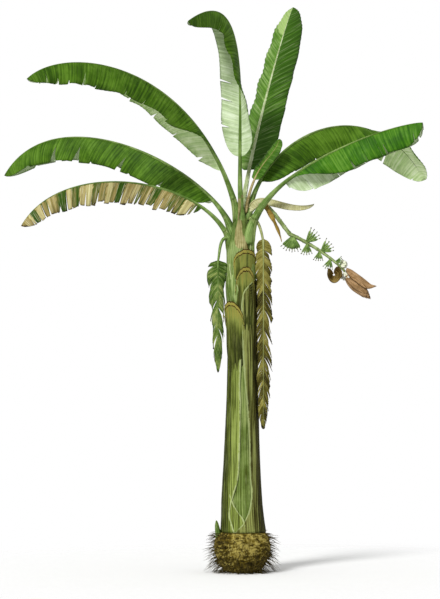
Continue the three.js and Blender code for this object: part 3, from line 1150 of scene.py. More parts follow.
def leaves() -> list[Leaf]:
    """Plans the standing leaves.

    Returns:
        The eight leaves, in the order in which they are built.
    """
    return [
        Leaf(
            "leaf_straight_right",
            Arch((0.035, -0.030, 2.445), -20, (88, 0.587), 1.369, 0.899, (-3, 0.193)),
            0.33, (0.048, 0.017),
            Blade(
                BladeForm(0.205, 0.1, ((58, 62), (60, 70), (50, 65)), tip_blunt=9, end=0.3),
                seed=11, tears_right=((0.45, 0.35), (0.7, 0.5), (0.93, 0.6)), tears_left=((0.93, 0.7),),
                more_tears=5, grows=(None, (0.0, 0.4)), drop=5, ragged=0.05,
            ),
            upper=DEEP_TOP,
        ),
        Leaf(
            "leaf_low_left",
            Arch((-0.065, 0, 2.355), 185, (88, 0.591), 1.593, 0.237, (-61, 0.659)),
            0.235, (0.034, 0.015),
            Blade(
                BladeForm(0.195, 0.15, ((62, 60), (70, 62), (60, 60))),
                seed=23, more_tears=29, more_depth=(0.3, 0.96), gap=0.010, drop=9, ragged=0.17,
                burn=0.16, corrugation=0.0025, twin=True, half_tones_and_sheen=(-0.12, -0.12),
            ),
            upper=FADED_TOP, under=FADED_UNDER, slot=Slot.FADED_LEAF,
        ),
        Leaf(
            "leaf_middle_left",
            Arch((-0.055, 0.010, 2.475), 152, (85, 0.518), 2.034, 0.537, (-56, 0.835)),
            0.155, (0.040, 0.017),
            Blade(
                BladeForm(0.235, 0.2, ((40, 40), (68, 62), (60, 55))),
                seed=31, tears_left=((0.185, 0.35), (0.385, 0.6), (0.595, 0.62), (0.71, 0.66)),
                more_tears=5, more_depth=(0.05, 0.25), gap=0.0115, drop=5, twin=True,
            ),
        ),
        Leaf(
            "leaf_high_left",
            Arch((-0.013, -0.006, 2.595), 212, (76, 1.260), 1.822, 1.038, (-42, 0.436)),
            0.18, (0.036, 0.017),
            Blade(
                BladeForm(0.240, 0.22, ((0, 0), (58, 30), (62, 60))),
                seed=43, tears_left=((0.74, 0.55), (0.865, 0.3), (0.92, 0.6)),
                more_tears=8, more_depth=(0.05, 0.22), gap=0.006, drop=6, grows=((0.0, 0.35), None),
                twin=True,
            ),
            under=UNDER_PAINTED_LIT,
        ),
        Leaf(
            "leaf_arched_right",
            Arch((0.035, 0.006, 2.625), 28, (84, 0.641), 1.562, 0.342, (-57, 0.936)),
            0.16, (0.032, 0.016),
            Blade(
                BladeForm(0.205, 0.05, ((30, 35), (55, 68), (0, 58)), closes=(0.5, 0.72)),
                seed=57, tears_right=((0.66, 0.85),), tears_left=((0.35, 0.8), (0.76, 0.85)),
                more_tears=5, more_depth=(0.05, 0.35), drop=4, gap=0.006, turn_over=-62,
            ),
            under=UNDER_PAINTED_LIT,
        ),
        Leaf(
            "leaf_top_left",
            Arch((0.009, -0.006, 2.610), 236, (67, 0.453), 0.733, 1.471, (-26, 1.142)),
            0.24, (0.026, 0.014),
            Blade(
                BladeForm(0.170, 0.15, ((5, 5), (75, 12), (80, 45)), opens=0.55),
                seed=61, tears_right=((0.125, 0.4), (0.245, 0.55), (0.33, 0.6)), gap=0.0045,
                tears_left=((0.7, 0.6),), more_tears=3, more_depth=(0.05, 0.2), drop=4,
            ),
        ),
        Leaf(
            "leaf_top_right",
            Arch((-0.005, 0.024, 2.625), 72, (87, 0.371), 1.349, 1.730, (22, 0.171)),
            0.2, (0.026, 0.015),
            Blade(
                BladeForm(0.176, 0.1, ((24, 15), (28, 25), (22, 20))),
                seed=71, more_tears=3, more_depth=(0.05, 0.15), drop=3, wave=3, waves=6, gap=0.003,
                # The left half's raised tone is a painted sheen where it faces the light; the right half is
                # darker.
                lean=0.13, half_tones_and_sheen=(0.28, -0.5), corrugation=0.0035, vein_step=0.055,
            ),
            upper=BRIGHT_TOP, stalk_skin=STALK_PALE,
        ),
        Leaf(
            "leaf_young",
            Arch((0.024, -0.014, 2.685), 8, (83, 0.398), 0.258, 0.565, (76, 0.160)),
            0.42, (0.016, 0.009),
            Blade(
                BladeForm(0.062, 0.1, ((0, 0), (0, 0), (0, 0))),
                seed=83, more_tears=0, drop=0, wave=3, arch=24, wall=0.002, burn=0.05,
            ),
            upper=YOUNG_TOP, stalk_skin=STALK_PINK, roll=40, one_node=True,
        ),
    ]


@dataclass(frozen=True)
class HangingLeaf:
    """A dead leaf that hangs beside the stem, its blade torn to tatters.

    overlap is how many of the blade line's points the bent stalk runs on over.
    """

    name: str
    stalk_arch: Arch
    blade_arch: Arch
    stalk_radii: Pair
    blade: Blade
    joints: tuple[str, str]
    upper: Finish
    under: Finish
    skin: Finish = STALK_GREEN
    overlap: int = 30

    def build(self) -> list[Piece]:
        """Builds the bent stalk, the rib and the tatters.

        Returns:
            The three pieces.
        """
        stem = Surface()
        foot, neck = self.stalk_radii
        line = self.blade_arch.line()
        points = [*self.stalk_arch.line().points[:-8], *line.points[4 : self.overlap]]
        bent = RibLine(points, self.stalk_arch.heading)
        Rod(((0.0, foot), (0.75, neck), (1.0, neck * 0.5)), channel=0.3, sides=12, step=0.012).add(stem, bent)
        stalk = stem.piece(f"{self.name}_bent_stalk", [self.skin], Slot.STALK, f"{self.name}_stalk")
        core = Surface()
        knots = ((0.0, neck), (0.15, neck * 0.5), (0.5, neck * 0.35), (1.0, 0.001))
        Rod(knots, channel=0.2, sides=10).add(core, line)
        rib = core.piece(f"{self.name}_rib", [self.skin], Slot.STALK)
        sheet = Surface()
        self.blade.add(sheet, line)
        nodes = [f"{self.name}_{joint}" for joint in self.joints]
        tatters = sheet.piece(f"{self.name}_tatters", [self.upper, self.under], Slot.DEAD_LEAF, *nodes)
        return [stalk, rib, tatters]


def hanging_leaves() -> list[HangingLeaf]:
    """Plans the dead leaves.

    Returns:
        The two leaves.
    """
    flat = ((12.0, 12.0), (25.0, 25.0), (20.0, 20.0))
    return [
        HangingLeaf(
            "leaf_hanging_left",
            Arch((-0.065, 0, 2.470), 200, (46, 0.170), 0.124, -0.128, (-67, 0.030)),
            Arch((-0.182, -0.060, 2.338), -90, (-88, 0.200), 0.010, -0.838, (-88, 0.200)),
            (0.017, 0.009),
            Blade(
                BladeForm(0.128, 0.72, flat), seed=104, tears_left=((0.42, 0.97), (0.6, 0.97)),
                tears_right=((0.34, 0.93), (0.52, 0.97), (0.66, 0.97)), more_tears=9,
                more_depth=(0.25, 0.85), gap=0.024, drop=18, ragged=0.4, lean=0.17, burn=0.14,
                corrugation=0.003, wave=8, waves=6,
            ),
            ("blade", "tail"), DEAD_GREEN, DEAD_OLIVE,
        ),
        HangingLeaf(
            "leaf_hanging_right",
            Arch((0.045, -0.014, 2.640), -22, (40, 0.090), 0.116, -0.140, (-80, 0.060)),
            Arch((0.157, -0.062, 2.498), -90, (-88, 0.300), 0.008, -1.424, (-88, 0.300)),
            (0.013, 0.009),
            Blade(
                BladeForm(0.104, 0.35, flat), seed=113, more_tears=28, more_depth=(0.85, 0.98), gap=0.005,
                drop=24, ragged=0.3, lean=0.085, burn=0.16, corrugation=0.0035, vein_step=0.017, wave=8,
                waves=9,
            ),
            ("blade_upper", "blade_lower"), DEAD_OLIVE, DEAD_OLIVE, RIB_OLIVE,
        ),
    ]


# ---- Stem ----


@dataclass(frozen=True)
class StemShape:
    """The stem's stations: height, how far its middle leans in x, and its radius."""

    stations: tuple[Point, ...] = (
        (0.3003, 0.005, 0.165), (0.400, 0.0, 0.154), (0.540, -0.006, 0.145), (0.915, -0.005, 0.125),
        (1.290, -0.001, 0.112), (1.665, 0.001, 0.106), (2.040, -0.009, 0.101), (2.265, -0.011, 0.095),
        (2.415, -0.013, 0.086), (2.520, -0.007, 0.068), (2.610, 0.001, 0.046), (2.680, 0.009, 0.026),
    )

    def place(self, bearing: float, height: float, lift: float) -> Vector:
        """Returns a point of the stem's skin.

        Args:
            bearing: Degrees from the front towards the right.
            height: The point's height.
            lift: How far it stands off the skin.

        Returns:
            The point.
        """
        lean, radius = curve_through(self.stations, height)
        turn = radians(bearing)
        reach = radius + lift
        return Vector((lean + reach * sin(turn), -reach * cos(turn), height))

    def radius(self, height: float) -> float:
        """Returns the stem's radius at a height."""
        return curve_through(self.stations, height)[1]


@dataclass(frozen=True)
class WrappedSheath:
    """A leaf sheath wrapped round the stem between two margins.

    margins holds rows of a height and the bearings of the first and last margin there. The
    skin is painted lightest at lit_bearing, which faces the key light, and painted darker into
    shade a quarter turn away: tones holds its tone at those two. Over the heights in clears the
    sheath comes to stand off further, by stands_off.
    """

    name: str
    margins: tuple[Point, ...]
    finish: Finish
    lift: float = 0.006
    wall: float = 0.004
    lit_bearing: float = -15.0
    tones: Pair = (0.75, 0.3)
    stands_off: float = 0.0
    clears: Pair = (1.85, 1.98)
    lip_band: Pair = (0.003, 0.024)
    lip_lift: float = 0.004
    swell: float = 0.003
    pleat: float = 0.0022
    row: float = 0.02
    columns: int = 60

    def build(self, stem: StemShape) -> Piece:
        """Builds the sheath on the stem.

        Args:
            stem: The stem's stations.

        Returns:
            The sheath.
        """
        low, high = self.margins[0][0], self.margins[-1][0]
        surface = Surface()

        def spot_at(rise: float, turn: float) -> Spot:
            """Lays out one spot.

            Args:
                rise: Share of the height.
                turn: Share round or across.

            Returns:
                The spot.
            """
            height = mix(low, high, rise)
            first, last = curve_through(self.margins, height)
            bearing = mix(first, last, turn)
            radius = stem.radius(height)
            inset = min(turn, 1 - turn) * radians(last - first) * radius
            lip = 1 - ease(inset, *self.lip_band)
            swell = self.swell * ripple(bearing * 0.045, height * 1.6, self.lift * 90)
            pleat = self.pleat * sin(radians(bearing) * 26 + 4 * ripple(height * 1.5, 0.4))
            lift = self.lift + swell + pleat + self.lip_lift * lip
            lift += self.stands_off * ease(height, *self.clears) - self.lip_lift * ease(rise, 0.97, 1.0)
            # Painted light and shade: lightest at lit_bearing, towards the key light, and darker towards the
            # sides.
            painted_light_and_shade = mix(*self.tones, ease(abs(bearing - self.lit_bearing), 0.0, 80.0))
            tone = painted_light_and_shade + 0.55 * ripple(bearing * 0.06, height * 0.8, 4.1)
            return Spot(stem.place(bearing, height, lift), radians(bearing) * radius, height, tone, lip)

        rows = round((high - low) / self.row)
        surface.shell(rows, self.columns, spot_at, self.wall)
        return surface.piece(self.name, [self.finish], Slot.STEM)


@dataclass(frozen=True)
class OldSheath:
    """The stump of a shed sheath, which ends above in an arch with a dark dry rim.

    rim and rim_line hold depths below the arch: the rim fades out between its two, and a thin
    line under it comes in between the first two and goes out between the last two.
    """

    name: str
    middle: float
    half_span: float
    bottom: float
    shoulder: float
    arch: float
    wall: float = 0.015
    skin: float = 0.006
    torn: float = 0.008
    flare: float = 0.014
    flare_depth: float = 0.10
    rim: Pair = (0.005, 0.013)
    rim_line: tuple[float, float, float, float] = (0.024, 0.030, 0.034, 0.044)

    def build(self, stem: StemShape) -> Piece:
        """Builds the stump on the stem.

        Args:
            stem: The stem's stations.

        Returns:
            The stump.
        """
        surface = Surface()

        def spot_at(rise: float, turn: float) -> Spot:
            """Lays out one spot.

            Args:
                rise: Share of the height.
                turn: Share round or across.

            Returns:
                The spot.
            """
            x = 2 * turn - 1
            torn = self.torn * ripple(x * 9, self.middle, 0.2)
            top = self.shoulder + self.arch * dome(x * x) + torn
            bottom = self.bottom + self.arch * 0.5 * x * x
            height = mix(bottom, top, 1 - (1 - rise) ** 1.7)
            bearing = self.middle + x * self.half_span
            below = top - height
            flare = self.flare * (1 - ease(below, 0.0, self.flare_depth))
            radius = stem.radius(height)
            inset = (1 - abs(x)) * radians(self.half_span) * radius
            line = ease(below, *self.rim_line[:2]) * (1 - ease(below, *self.rim_line[2:]))
            rim = max(1 - ease(below, *self.rim), line)
            lift = self.wall * (0.35 + 0.65 * ease(inset, 0.0, 0.02)) + flare
            lift *= ease(rise, -0.05, 0.25)
            tone = 1.5 - 0.6 * ease(below, 0.012, 0.05) - 0.7 * ease(below, 0.05, 0.26)
            tone += 0.5 * ripple(x * 4, height * 1.5, 0.6)
            spot = stem.place(bearing, height, lift + 0.003)
            return Spot(spot, radians(bearing) * radius, height, tone, rim)

        surface.shell(72, 32, spot_at, self.skin)
        return surface.piece(f"{self.name}_stump", [OLD_SHEATH], Slot.DRY_SHEATH, self.name)


@dataclass(frozen=True)
class LeafSheath:
    """The sheath under a standing leaf, which narrows up the stem to clasp the stalk's foot."""

    leaf: Leaf
    fall: float = 0.42
    half_span: float = 78.0
    finish: Finish = CROWN_GREEN
    tone: float = 0.5
    climb: float = 0.10
    layer: float = 0.0
    above_foot: float = 0.05
    narrow_span: float = 40.0
    clasps_from: float = 0.45
    pattern_radius: float = 0.09
    wall: float = 0.0035

    def build(self, stem: StemShape) -> Piece:
        """Builds the sheath between the stem and the stalk.

        Args:
            stem: The stem's stations.

        Returns:
            The sheath.
        """
        line = self.leaf.arch.line()
        foot = self.leaf.arch.foot[2]
        low, high = foot - self.fall, foot + self.above_foot
        bearing_middle = self.leaf.arch.heading + 90
        surface = Surface()

        def spot_at(rise: float, turn: float) -> Spot:
            """Lays out one spot.

            Args:
                rise: Share of the height.
                turn: Share round or across.

            Returns:
                The spot.
            """
            x = 2 * turn - 1
            height = mix(low, high, rise)
            half = mix(self.half_span, self.narrow_span, ease(rise, 0.25, 1.0))
            inset = (1 - abs(x)) * radians(half) * self.pattern_radius
            lip = 1 - ease(inset, 0.002, 0.010)
            lift = 0.004 + 0.006 * ease(rise, 0.0, 0.3) + 0.002 * lip + self.layer * ease(rise, 0.15, 0.5)
            on_stem = stem.place(bearing_middle + x * half, height, lift)
            on_stem.z = height
            clasped = max(0.0, rise - self.clasps_from) / (1 - self.clasps_from)
            share = clasped * self.climb / line.length * 2.2
            frame = line.at(share, self.leaf.roll)
            radius = mix(*self.leaf.stalk_radii, share / self.leaf.stalk)
            radius += mix(0.004, -0.004, ease(rise, 0.7, 1.0))
            turned = radians(x * mix(80.0, 105.0, rise))
            on_stalk = frame.point - frame.upper * (cos(turned) * radius)
            on_stalk -= frame.left * (sin(turned) * radius)
            place = on_stem.lerp(on_stalk, ease(rise, self.clasps_from, 1.0))
            across = x * radians(half) * self.pattern_radius
            tone = self.tone + 0.6 * ripple(x * 3, height * 3, foot)
            return Spot(place, across, height, tone, lip)

        surface.shell(30, 22, spot_at, self.wall)
        return surface.piece(f"{self.leaf.name}_sheath", [self.finish], Slot.STEM)


@dataclass(frozen=True)
class Pseudostem:
    """The stem of wrapped sheaths with the stumps of the shed ones.

    dry_crown names the leaf whose sheath has dried, and layer_step is how much further out
    each leaf's sheath lies than the next one's.
    """

    shape: StemShape = StemShape()
    core_sides: int = 48
    core_step: float = 0.025
    pattern_radius: float = 0.12
    dry_crown: str = "leaf_top_left"
    layer_step: float = 0.0013

    def _core(self) -> Piece:
        """Builds the inner sheaths as one round shaft.

        Returns:
            The shaft.
        """
        surface = Surface()
        low, high = self.shape.stations[0][0], self.shape.stations[-1][0]
        girth = FULL_TURN * self.pattern_radius

        def spot_at(rise: float, turn: float) -> Spot:
            """Lays out one spot.

            Args:
                rise: Share of the height.
                turn: Share round or across.

            Returns:
                The spot.
            """
            height = mix(low, high, rise)
            bearing = 180 + 360 * turn
            if rise in (0.0, 1.0):
                lean = curve_through(self.shape.stations, height)[0]
                return Spot(Vector((lean, 0, height)), turn * girth, height)
            angle = radians(bearing)
            swell = 0.002 * ripple(cos(angle) * 2, sin(angle) * 2, height)
            place = self.shape.place(bearing, height, swell)
            return Spot(place, turn * girth, height, 0.5 + 0.3 * ripple(height * 2, bearing * 0.02))

        surface.tube(round((high - low) / self.core_step), self.core_sides, spot_at, girth)
        return surface.piece("stem_inner_shaft", [STEM_INNER], Slot.STEM, "pseudostem")

    def build(self, standing: Sequence[Leaf]) -> list[Piece]:
        """Builds the shaft, the wrapped sheaths, the stumps and the leaves' sheaths.

        Args:
            standing: The leaves whose sheaths clasp the top of the stem.

        Returns:
            The pieces.
        """
        # Each sheath's lit_bearing and tones paint light on its front and shade on its sides.
        left = WrappedSheath(
            "stem_sheath_left",
            (
                (0.304, -215, -21), (0.427, -215, -35), (0.540, -215, -29), (0.690, -214, -11.5),
                (0.990, -212, -6), (1.252, -208, -5), (1.417, -204, -8), (1.600, -190, -5), (1.840, -170, -6),
            ),
            STEM_LEFT, lift=0.006, lit_bearing=-8, tones=(0.85, -0.3),
        )
        right = WrappedSheath(
            "stem_sheath_right",
            (
                (0.304, -21, 195), (0.390, 5.5, 195), (0.540, 26, 196), (0.765, 25, 198), (1.065, 22.5, 200),
                (1.290, 15, 202), (1.417, 8, 204), (1.600, 2, 206), (1.890, -3, 208), (2.100, 9, 208),
                (2.175, 45, 205), (2.212, 88, 200), (2.260, 120, 190),
            ),
            STEM_RIGHT, lift=0.009, lit_bearing=5, tones=(0.95, -0.15), stands_off=0.009,
        )
        inner = WrappedSheath(
            "stem_sheath_inner",
            (
                (0.304, -120, 13), (0.380, -120, 5), (0.412, -120, 2), (0.450, -120, -9), (0.500, -120, -20),
                (0.560, -120, -31), (0.600, -120, -38),
            ),
            STEM_LEFT, lift=0.0035, wall=0.003, lit_bearing=-8, tones=(0.75, 0.4),
        )
        stumps = [
            OldSheath("old_sheath_lower", -40, 46, 1.500, 1.880, 0.150),
            OldSheath("old_sheath_middle", 18, 38, 1.760, 2.130, 0.160),
            OldSheath("old_sheath_upper", 24, 53, 2.090, 2.320, 0.100),
        ]
        built = [self._core(), *(sheath.build(self.shape) for sheath in (inner, left, right))]
        built += [stump.build(self.shape) for stump in stumps]
        for order, leaf in enumerate(leaf for leaf in standing if not leaf.one_node):
            finish = CROWN_DRY if leaf.name == self.dry_crown else CROWN_GREEN
            layer = self.layer_step * (len(standing) - 1 - order)
            built.append(LeafSheath(leaf, finish=finish, layer=layer).build(self.shape))
        return built


@dataclass(frozen=True)
class SuckerBud:
    """A pointed side shoot at the corm's shoulder, in overlapping scales.

    scales holds each scale's middle, in radians round the shoot, and how far up it ends.
    """

    foot: Point = (-0.176, -0.036, 0.262)
    tip: Point = (-0.195, -0.040, 0.392)
    radius: float = 0.022
    scales: Pairs = ((-1.9, 0.62), (1.1, 0.45), (3.0, 0.8))
    scale_lift: float = 0.0022
    scale_wall: float = 0.0015

    def build(self) -> Piece:
        """Builds the shoot and its scales.

        Returns:
            The shoot.
        """
        surface = Surface()
        foot, tip = Vector(self.foot), Vector(self.tip)
        girth = FULL_TURN * self.radius

        def core_at(rise: float, turn: float) -> Spot:
            """Lays out one spot of the core.

            Args:
                rise: Share of the height.
                turn: Share round or across.

            Returns:
                The spot.
            """
            radius = self.radius * dome(rise**1.6) * (0.0 if rise == 0 else 1.0)
            angle = turn * FULL_TURN
            place = foot.lerp(tip, rise) + Vector((cos(angle), sin(angle), 0)) * radius
            return Spot(place, turn * girth, rise * 0.13, 0.6)

        surface.tube(14, 14, core_at, girth)
        for middle, top in self.scales:

            def scale_at(rise: float, turn: float) -> Spot:
                """Lays out one spot of a scale.

                Args:
                    rise: Share of the height.
                    turn: Share round or across.

                Returns:
                    The spot.
                """
                x = 2 * turn - 1
                high = rise * top
                half = 1.5 * dome(rise**2) + 0.05
                radius = self.radius * dome(high**1.6) + self.scale_lift
                angle = middle + x * half
                place = foot.lerp(tip, high) + Vector((cos(angle), sin(angle), 0)) * radius
                return Spot(place, x * 0.03, rise * 0.1, 0.3, ease(rise, 0.8, 1.0))

            surface.shell(10, 8, scale_at, self.scale_wall)
        return surface.piece("sucker_bud_scales", [CROWN_GREEN], Slot.STALK, "sucker_bud")


# ---- Corm ----


@dataclass(frozen=True)
class Corm:
    """The swollen foot of the plant, ringed with leaf scars and covered in hair roots.

    painted_front_highlight is how much paler its front is, a highlight painted where the key light
    falls. hair_pitch is the hairs' angle to the level at the corm's foot and at hair_height, the
    topmost hair's.
    """

    outline: Pairs = (
        (0.0, 0.112), (0.022, 0.143), (0.055, 0.167), (0.095, 0.188), (0.135, 0.202),
        (0.175, 0.208), (0.225, 0.206), (0.268, 0.195), (0.300, 0.172),
    )
    relief: float = 0.0075
    painted_front_highlight: float = 0.3
    sides: int = 190
    rows: int = 110
    hairs: int = 850
    hair_height: float = 0.29
    hair_length: Pair = (0.03, 0.115)
    hair_radius: Pair = (0.0018, 0.0040)
    hair_pitch: Pair = (-50, 12)
    hair_floor: float = 0.0016
    seed: int = 7

    def _relief(self, angle: float, height: float) -> float:
        """Reads the ring scars, the knobs and the grit.

        Args:
            angle: Radians round the corm from +X.
            height: The place's height.

        Returns:
            How far the skin stands out, from about -1 to 1.
        """
        x, y = cos(angle), sin(angle)
        wavy = height + 0.022 * ripple(x * 2.2, y * 2.2, 3.0) + 0.008 * ripple(x * 6, y * 6, height * 8)
        ring = 1 - 3.6 * abs(ripple(x * 2.6, y * 2.6, wavy * 46))
        knobs = ripple(x * 7, y * 7, wavy * 120)
        grit = ripple(x * 34, y * 34, height * 190)
        return 0.5 * max(-1.0, ring) + 0.55 * knobs + 0.3 * grit

    def skin(self, angle: float, height: float) -> Vector:
        """Places a point of the corm's skin.

        Args:
            angle: Radians round the corm from +X.
            height: The place's height.

        Returns:
            The point.
        """
        radius = curve_through(self.outline, height)[0]
        fade = ease(height, 0.0, 0.02)
        radius += self.relief * self._relief(angle, height) * fade
        return Vector((radius * cos(angle), radius * sin(angle), height))

    def _body(self) -> Piece:
        """Builds the ringed body on its flat underside.

        Returns:
            The body.
        """
        surface = Surface()
        under, over = 0.1, 0.95
        top = self.outline[-1][0]
        girth = FULL_TURN * 0.2

        def spot_at(rise: float, turn: float) -> Spot:
            """Lays out one spot.

            Args:
                rise: Share of the height.
                turn: Share round or across.

            Returns:
                The spot.
            """
            angle = pi / 2 + turn * FULL_TURN
            height = top * kept_in((rise - under) / (over - under))
            edge = self.skin(angle, height)
            if rise < under:
                edge *= rise / under
            elif rise > over:
                edge = Vector((edge.x, edge.y, 0)) * ((1 - rise) / (1 - over)) + Vector((0, 0, top))
            relief = self._relief(angle, height)
            patch_and_highlight = 0.3 * ripple(edge.x * 6, edge.y * 6, height * 6)
            # Painted highlight: the front, which faces the key light, is painted paler.
            patch_and_highlight += self.painted_front_highlight * max(0.0, -sin(angle)) ** 4 * ease(height, 0.04, 0.18)
            # The tone rises with the relief and the wear fills the ridges: painted shade in the grooves and a
            # painted highlight on the ridges.
            return Spot(edge, turn * girth, height, 0.42 + 0.6 * relief + patch_and_highlight, ease(relief, 0.5, 1.0))

        surface.tube(self.rows, self.sides, spot_at, girth)
        return surface.piece("corm_ringed_body", [CORM_SKIN], Slot.CORM, "corm")

    def _hair_roots(self) -> Piece:
        """Builds the hair roots as one joined piece of bent, tapering threads.

        Returns:
            The hair roots.
        """
        surface = Surface()
        rng = random.Random(self.seed)
        for _ in range(self.hairs):
            angle = rng.uniform(0, FULL_TURN)
            height = 0.004 + self.hair_height * rng.random()
            root = self.skin(angle, height)
            outward = Vector((cos(angle), sin(angle), 0))
            side = Vector((-outward.y, outward.x, 0))
            pitch = radians(mix(*self.hair_pitch, height / self.hair_height) + rng.uniform(-22, 22))
            aim = outward * cos(pitch) + Vector((0, 0, sin(pitch)))
            aim = (aim + side * rng.uniform(-0.5, 0.5)).normalized()
            length = rng.uniform(*self.hair_length) * (1.15 if height < 0.12 else 0.9)
            sag = rng.uniform(0.1, 0.5) * length
            sway = side * rng.uniform(-0.35, 0.35) * length
            thick = rng.uniform(*self.hair_radius)
            tone = rng.random()

            def spot_at(run: float, turn: float) -> Spot:
                """Lays out one spot.

                Args:
                    run: Share of the length.
                    turn: Share round or across.

                Returns:
                    The spot.
                """
                middle = root + aim * (length * run) - Vector((0, 0, sag * run * run)) + sway * run * run
                middle.z = max(self.hair_floor, middle.z)
                radius = 0.0 if run == 1.0 else thick * (1 - 0.75 * run)
                spoke = turn * FULL_TURN
                place = middle + side * (cos(spoke) * radius)
                place.z += sin(spoke) * radius
                return Spot(place, turn * 0.006, run * length, tone)

            surface.tube(4, 3, spot_at, 0.006)
        return surface.piece("corm_hair_roots", [ROOT_SKIN], Slot.CORM)

    def build(self) -> list[Piece]:
        """Builds the body and its hair roots."""
        return [self._body(), self._hair_roots()]


# ---- Flower stalk ----


@dataclass(frozen=True)
class Hand:
    """A fan of young fingers on the rachis, in two ranks.

    middle and half_spread are the fan's angles, fruit_part the fruit's share of a finger, and
    plump how thick a fruit is for its length in a fan 40 degrees to each side.
    """

    name: str
    at: float
    middle: float
    half_spread: float
    length: float
    depth: float
    seed: int
    ranks: Pair = (-0.6, 0.5)
    plump: float = 0.1
    fruit_part: float = 0.86
    style_radius: float = 0.0019
    stigma_radius: float = 0.0038

    def build(self, rachis: RibLine) -> Piece:
        """Builds the fingers with their pale styles and dry stigmas.

        Args:
            rachis: The line that the hand grows on.

        Returns:
            The hand.
        """
        surface = Surface()
        rng = random.Random(self.seed)
        root = rachis.at(self.at).point
        count = max(5, round(self.half_spread * self.length * 1.75))
        for rank in self.ranks:
            for spot in range(count):
                x = 2 * spot / (count - 1) - 1
                angle = radians(self.middle + x * self.half_spread + rng.uniform(-1.5, 1.5))
                self._finger(surface, root, angle, rank, rng)
        return surface.piece(f"{self.name}_fingers", [FRUIT_SKIN, STYLE_ENDS], Slot.FRUIT, self.name)

    def _finger(
        self, surface: Surface, root: Vector, angle: float, rank: float, rng: random.Random
    ) -> None:
        """Adds one finger, with the pale style on its tip and the dry stigma at the end.

        Args:
            surface: The hand's surface.
            root: The rachis's middle at the hand.
            angle: The finger's direction in the upright plane of the rachis.
            rank: Its place between the front, at -1, and the back of the hand, at 1.
            rng: The hand's random source.
        """
        length = self.length * rng.uniform(0.9, 1.04) * (1 - 0.1 * abs(rank))
        aim = Vector((cos(angle), 0, sin(angle)))
        shove = Vector((0, -self.depth * 0.2 + rank * self.depth * 0.5, 0))
        bend = Vector((0, 0, 1)) * (0.16 * length) - shove * 0.25
        belly = self.length * self.half_spread / 40 * self.plump
        tone = rng.random()
        girth = FULL_TURN * belly
        side = Vector((-aim.z, 0, aim.x))

        def path(run: float) -> Vector:
            """Follows the finger."""
            drawn = root + aim * (0.006 + length * run) + bend * (run * run - run)
            return drawn + shove * ease(run, -0.3, 0.6)

        def around(run: float, radius: float, turn: float) -> Vector:
            """Places a point round the finger.

            Args:
                run: Share of the length.
                radius: Metres from the middle line.
                turn: Share round or across.

            Returns:
                The point.
            """
            spoke = turn * FULL_TURN
            ridge = 1 + 0.07 * cos(5 * spoke)
            place = path(run) + side * (cos(spoke) * radius * ridge)
            place.y += sin(spoke) * radius * ridge
            return place

        def fruit_at(run: float, turn: float) -> Spot:
            """Lays out one spot of the fruit.

            Args:
                run: Share of the length.
                turn: Share round or across.

            Returns:
                The spot.
            """
            shape = curve_through(((0.0, 0.6), (0.2, 0.65), (0.6, 1.0), (0.88, 0.9), (1.0, 0.4)), run)[0]
            radius = 0.0 if run in (0.0, 1.0) else belly * shape
            place = around(run * self.fruit_part, radius, turn)
            return Spot(place, turn * girth, run * length, tone, ease(run, 0.8, 1.0))

        def style_at(run: float, turn: float) -> Spot:
            """Lays out one spot of the style."""
            radius = 0.0 if run in (0.0, 1.0) else self.style_radius
            return Spot(around(mix(0.82, 1.0, run), radius, turn), turn * girth, run * 0.02, 0.9, 1.0)

        def stigma_at(run: float, turn: float) -> Spot:
            """Lays out one spot of the stigma."""
            radius = self.stigma_radius * dome((2 * run - 1) ** 2)
            return Spot(around(mix(0.95, 1.04, run), radius, turn), turn * girth, run * 0.01, tone)

        surface.tube(8, 8, fruit_at, girth)
        surface.tube(3, 4, style_at, girth)
        surface.tube(4, 5, stigma_at, girth, finish=1)


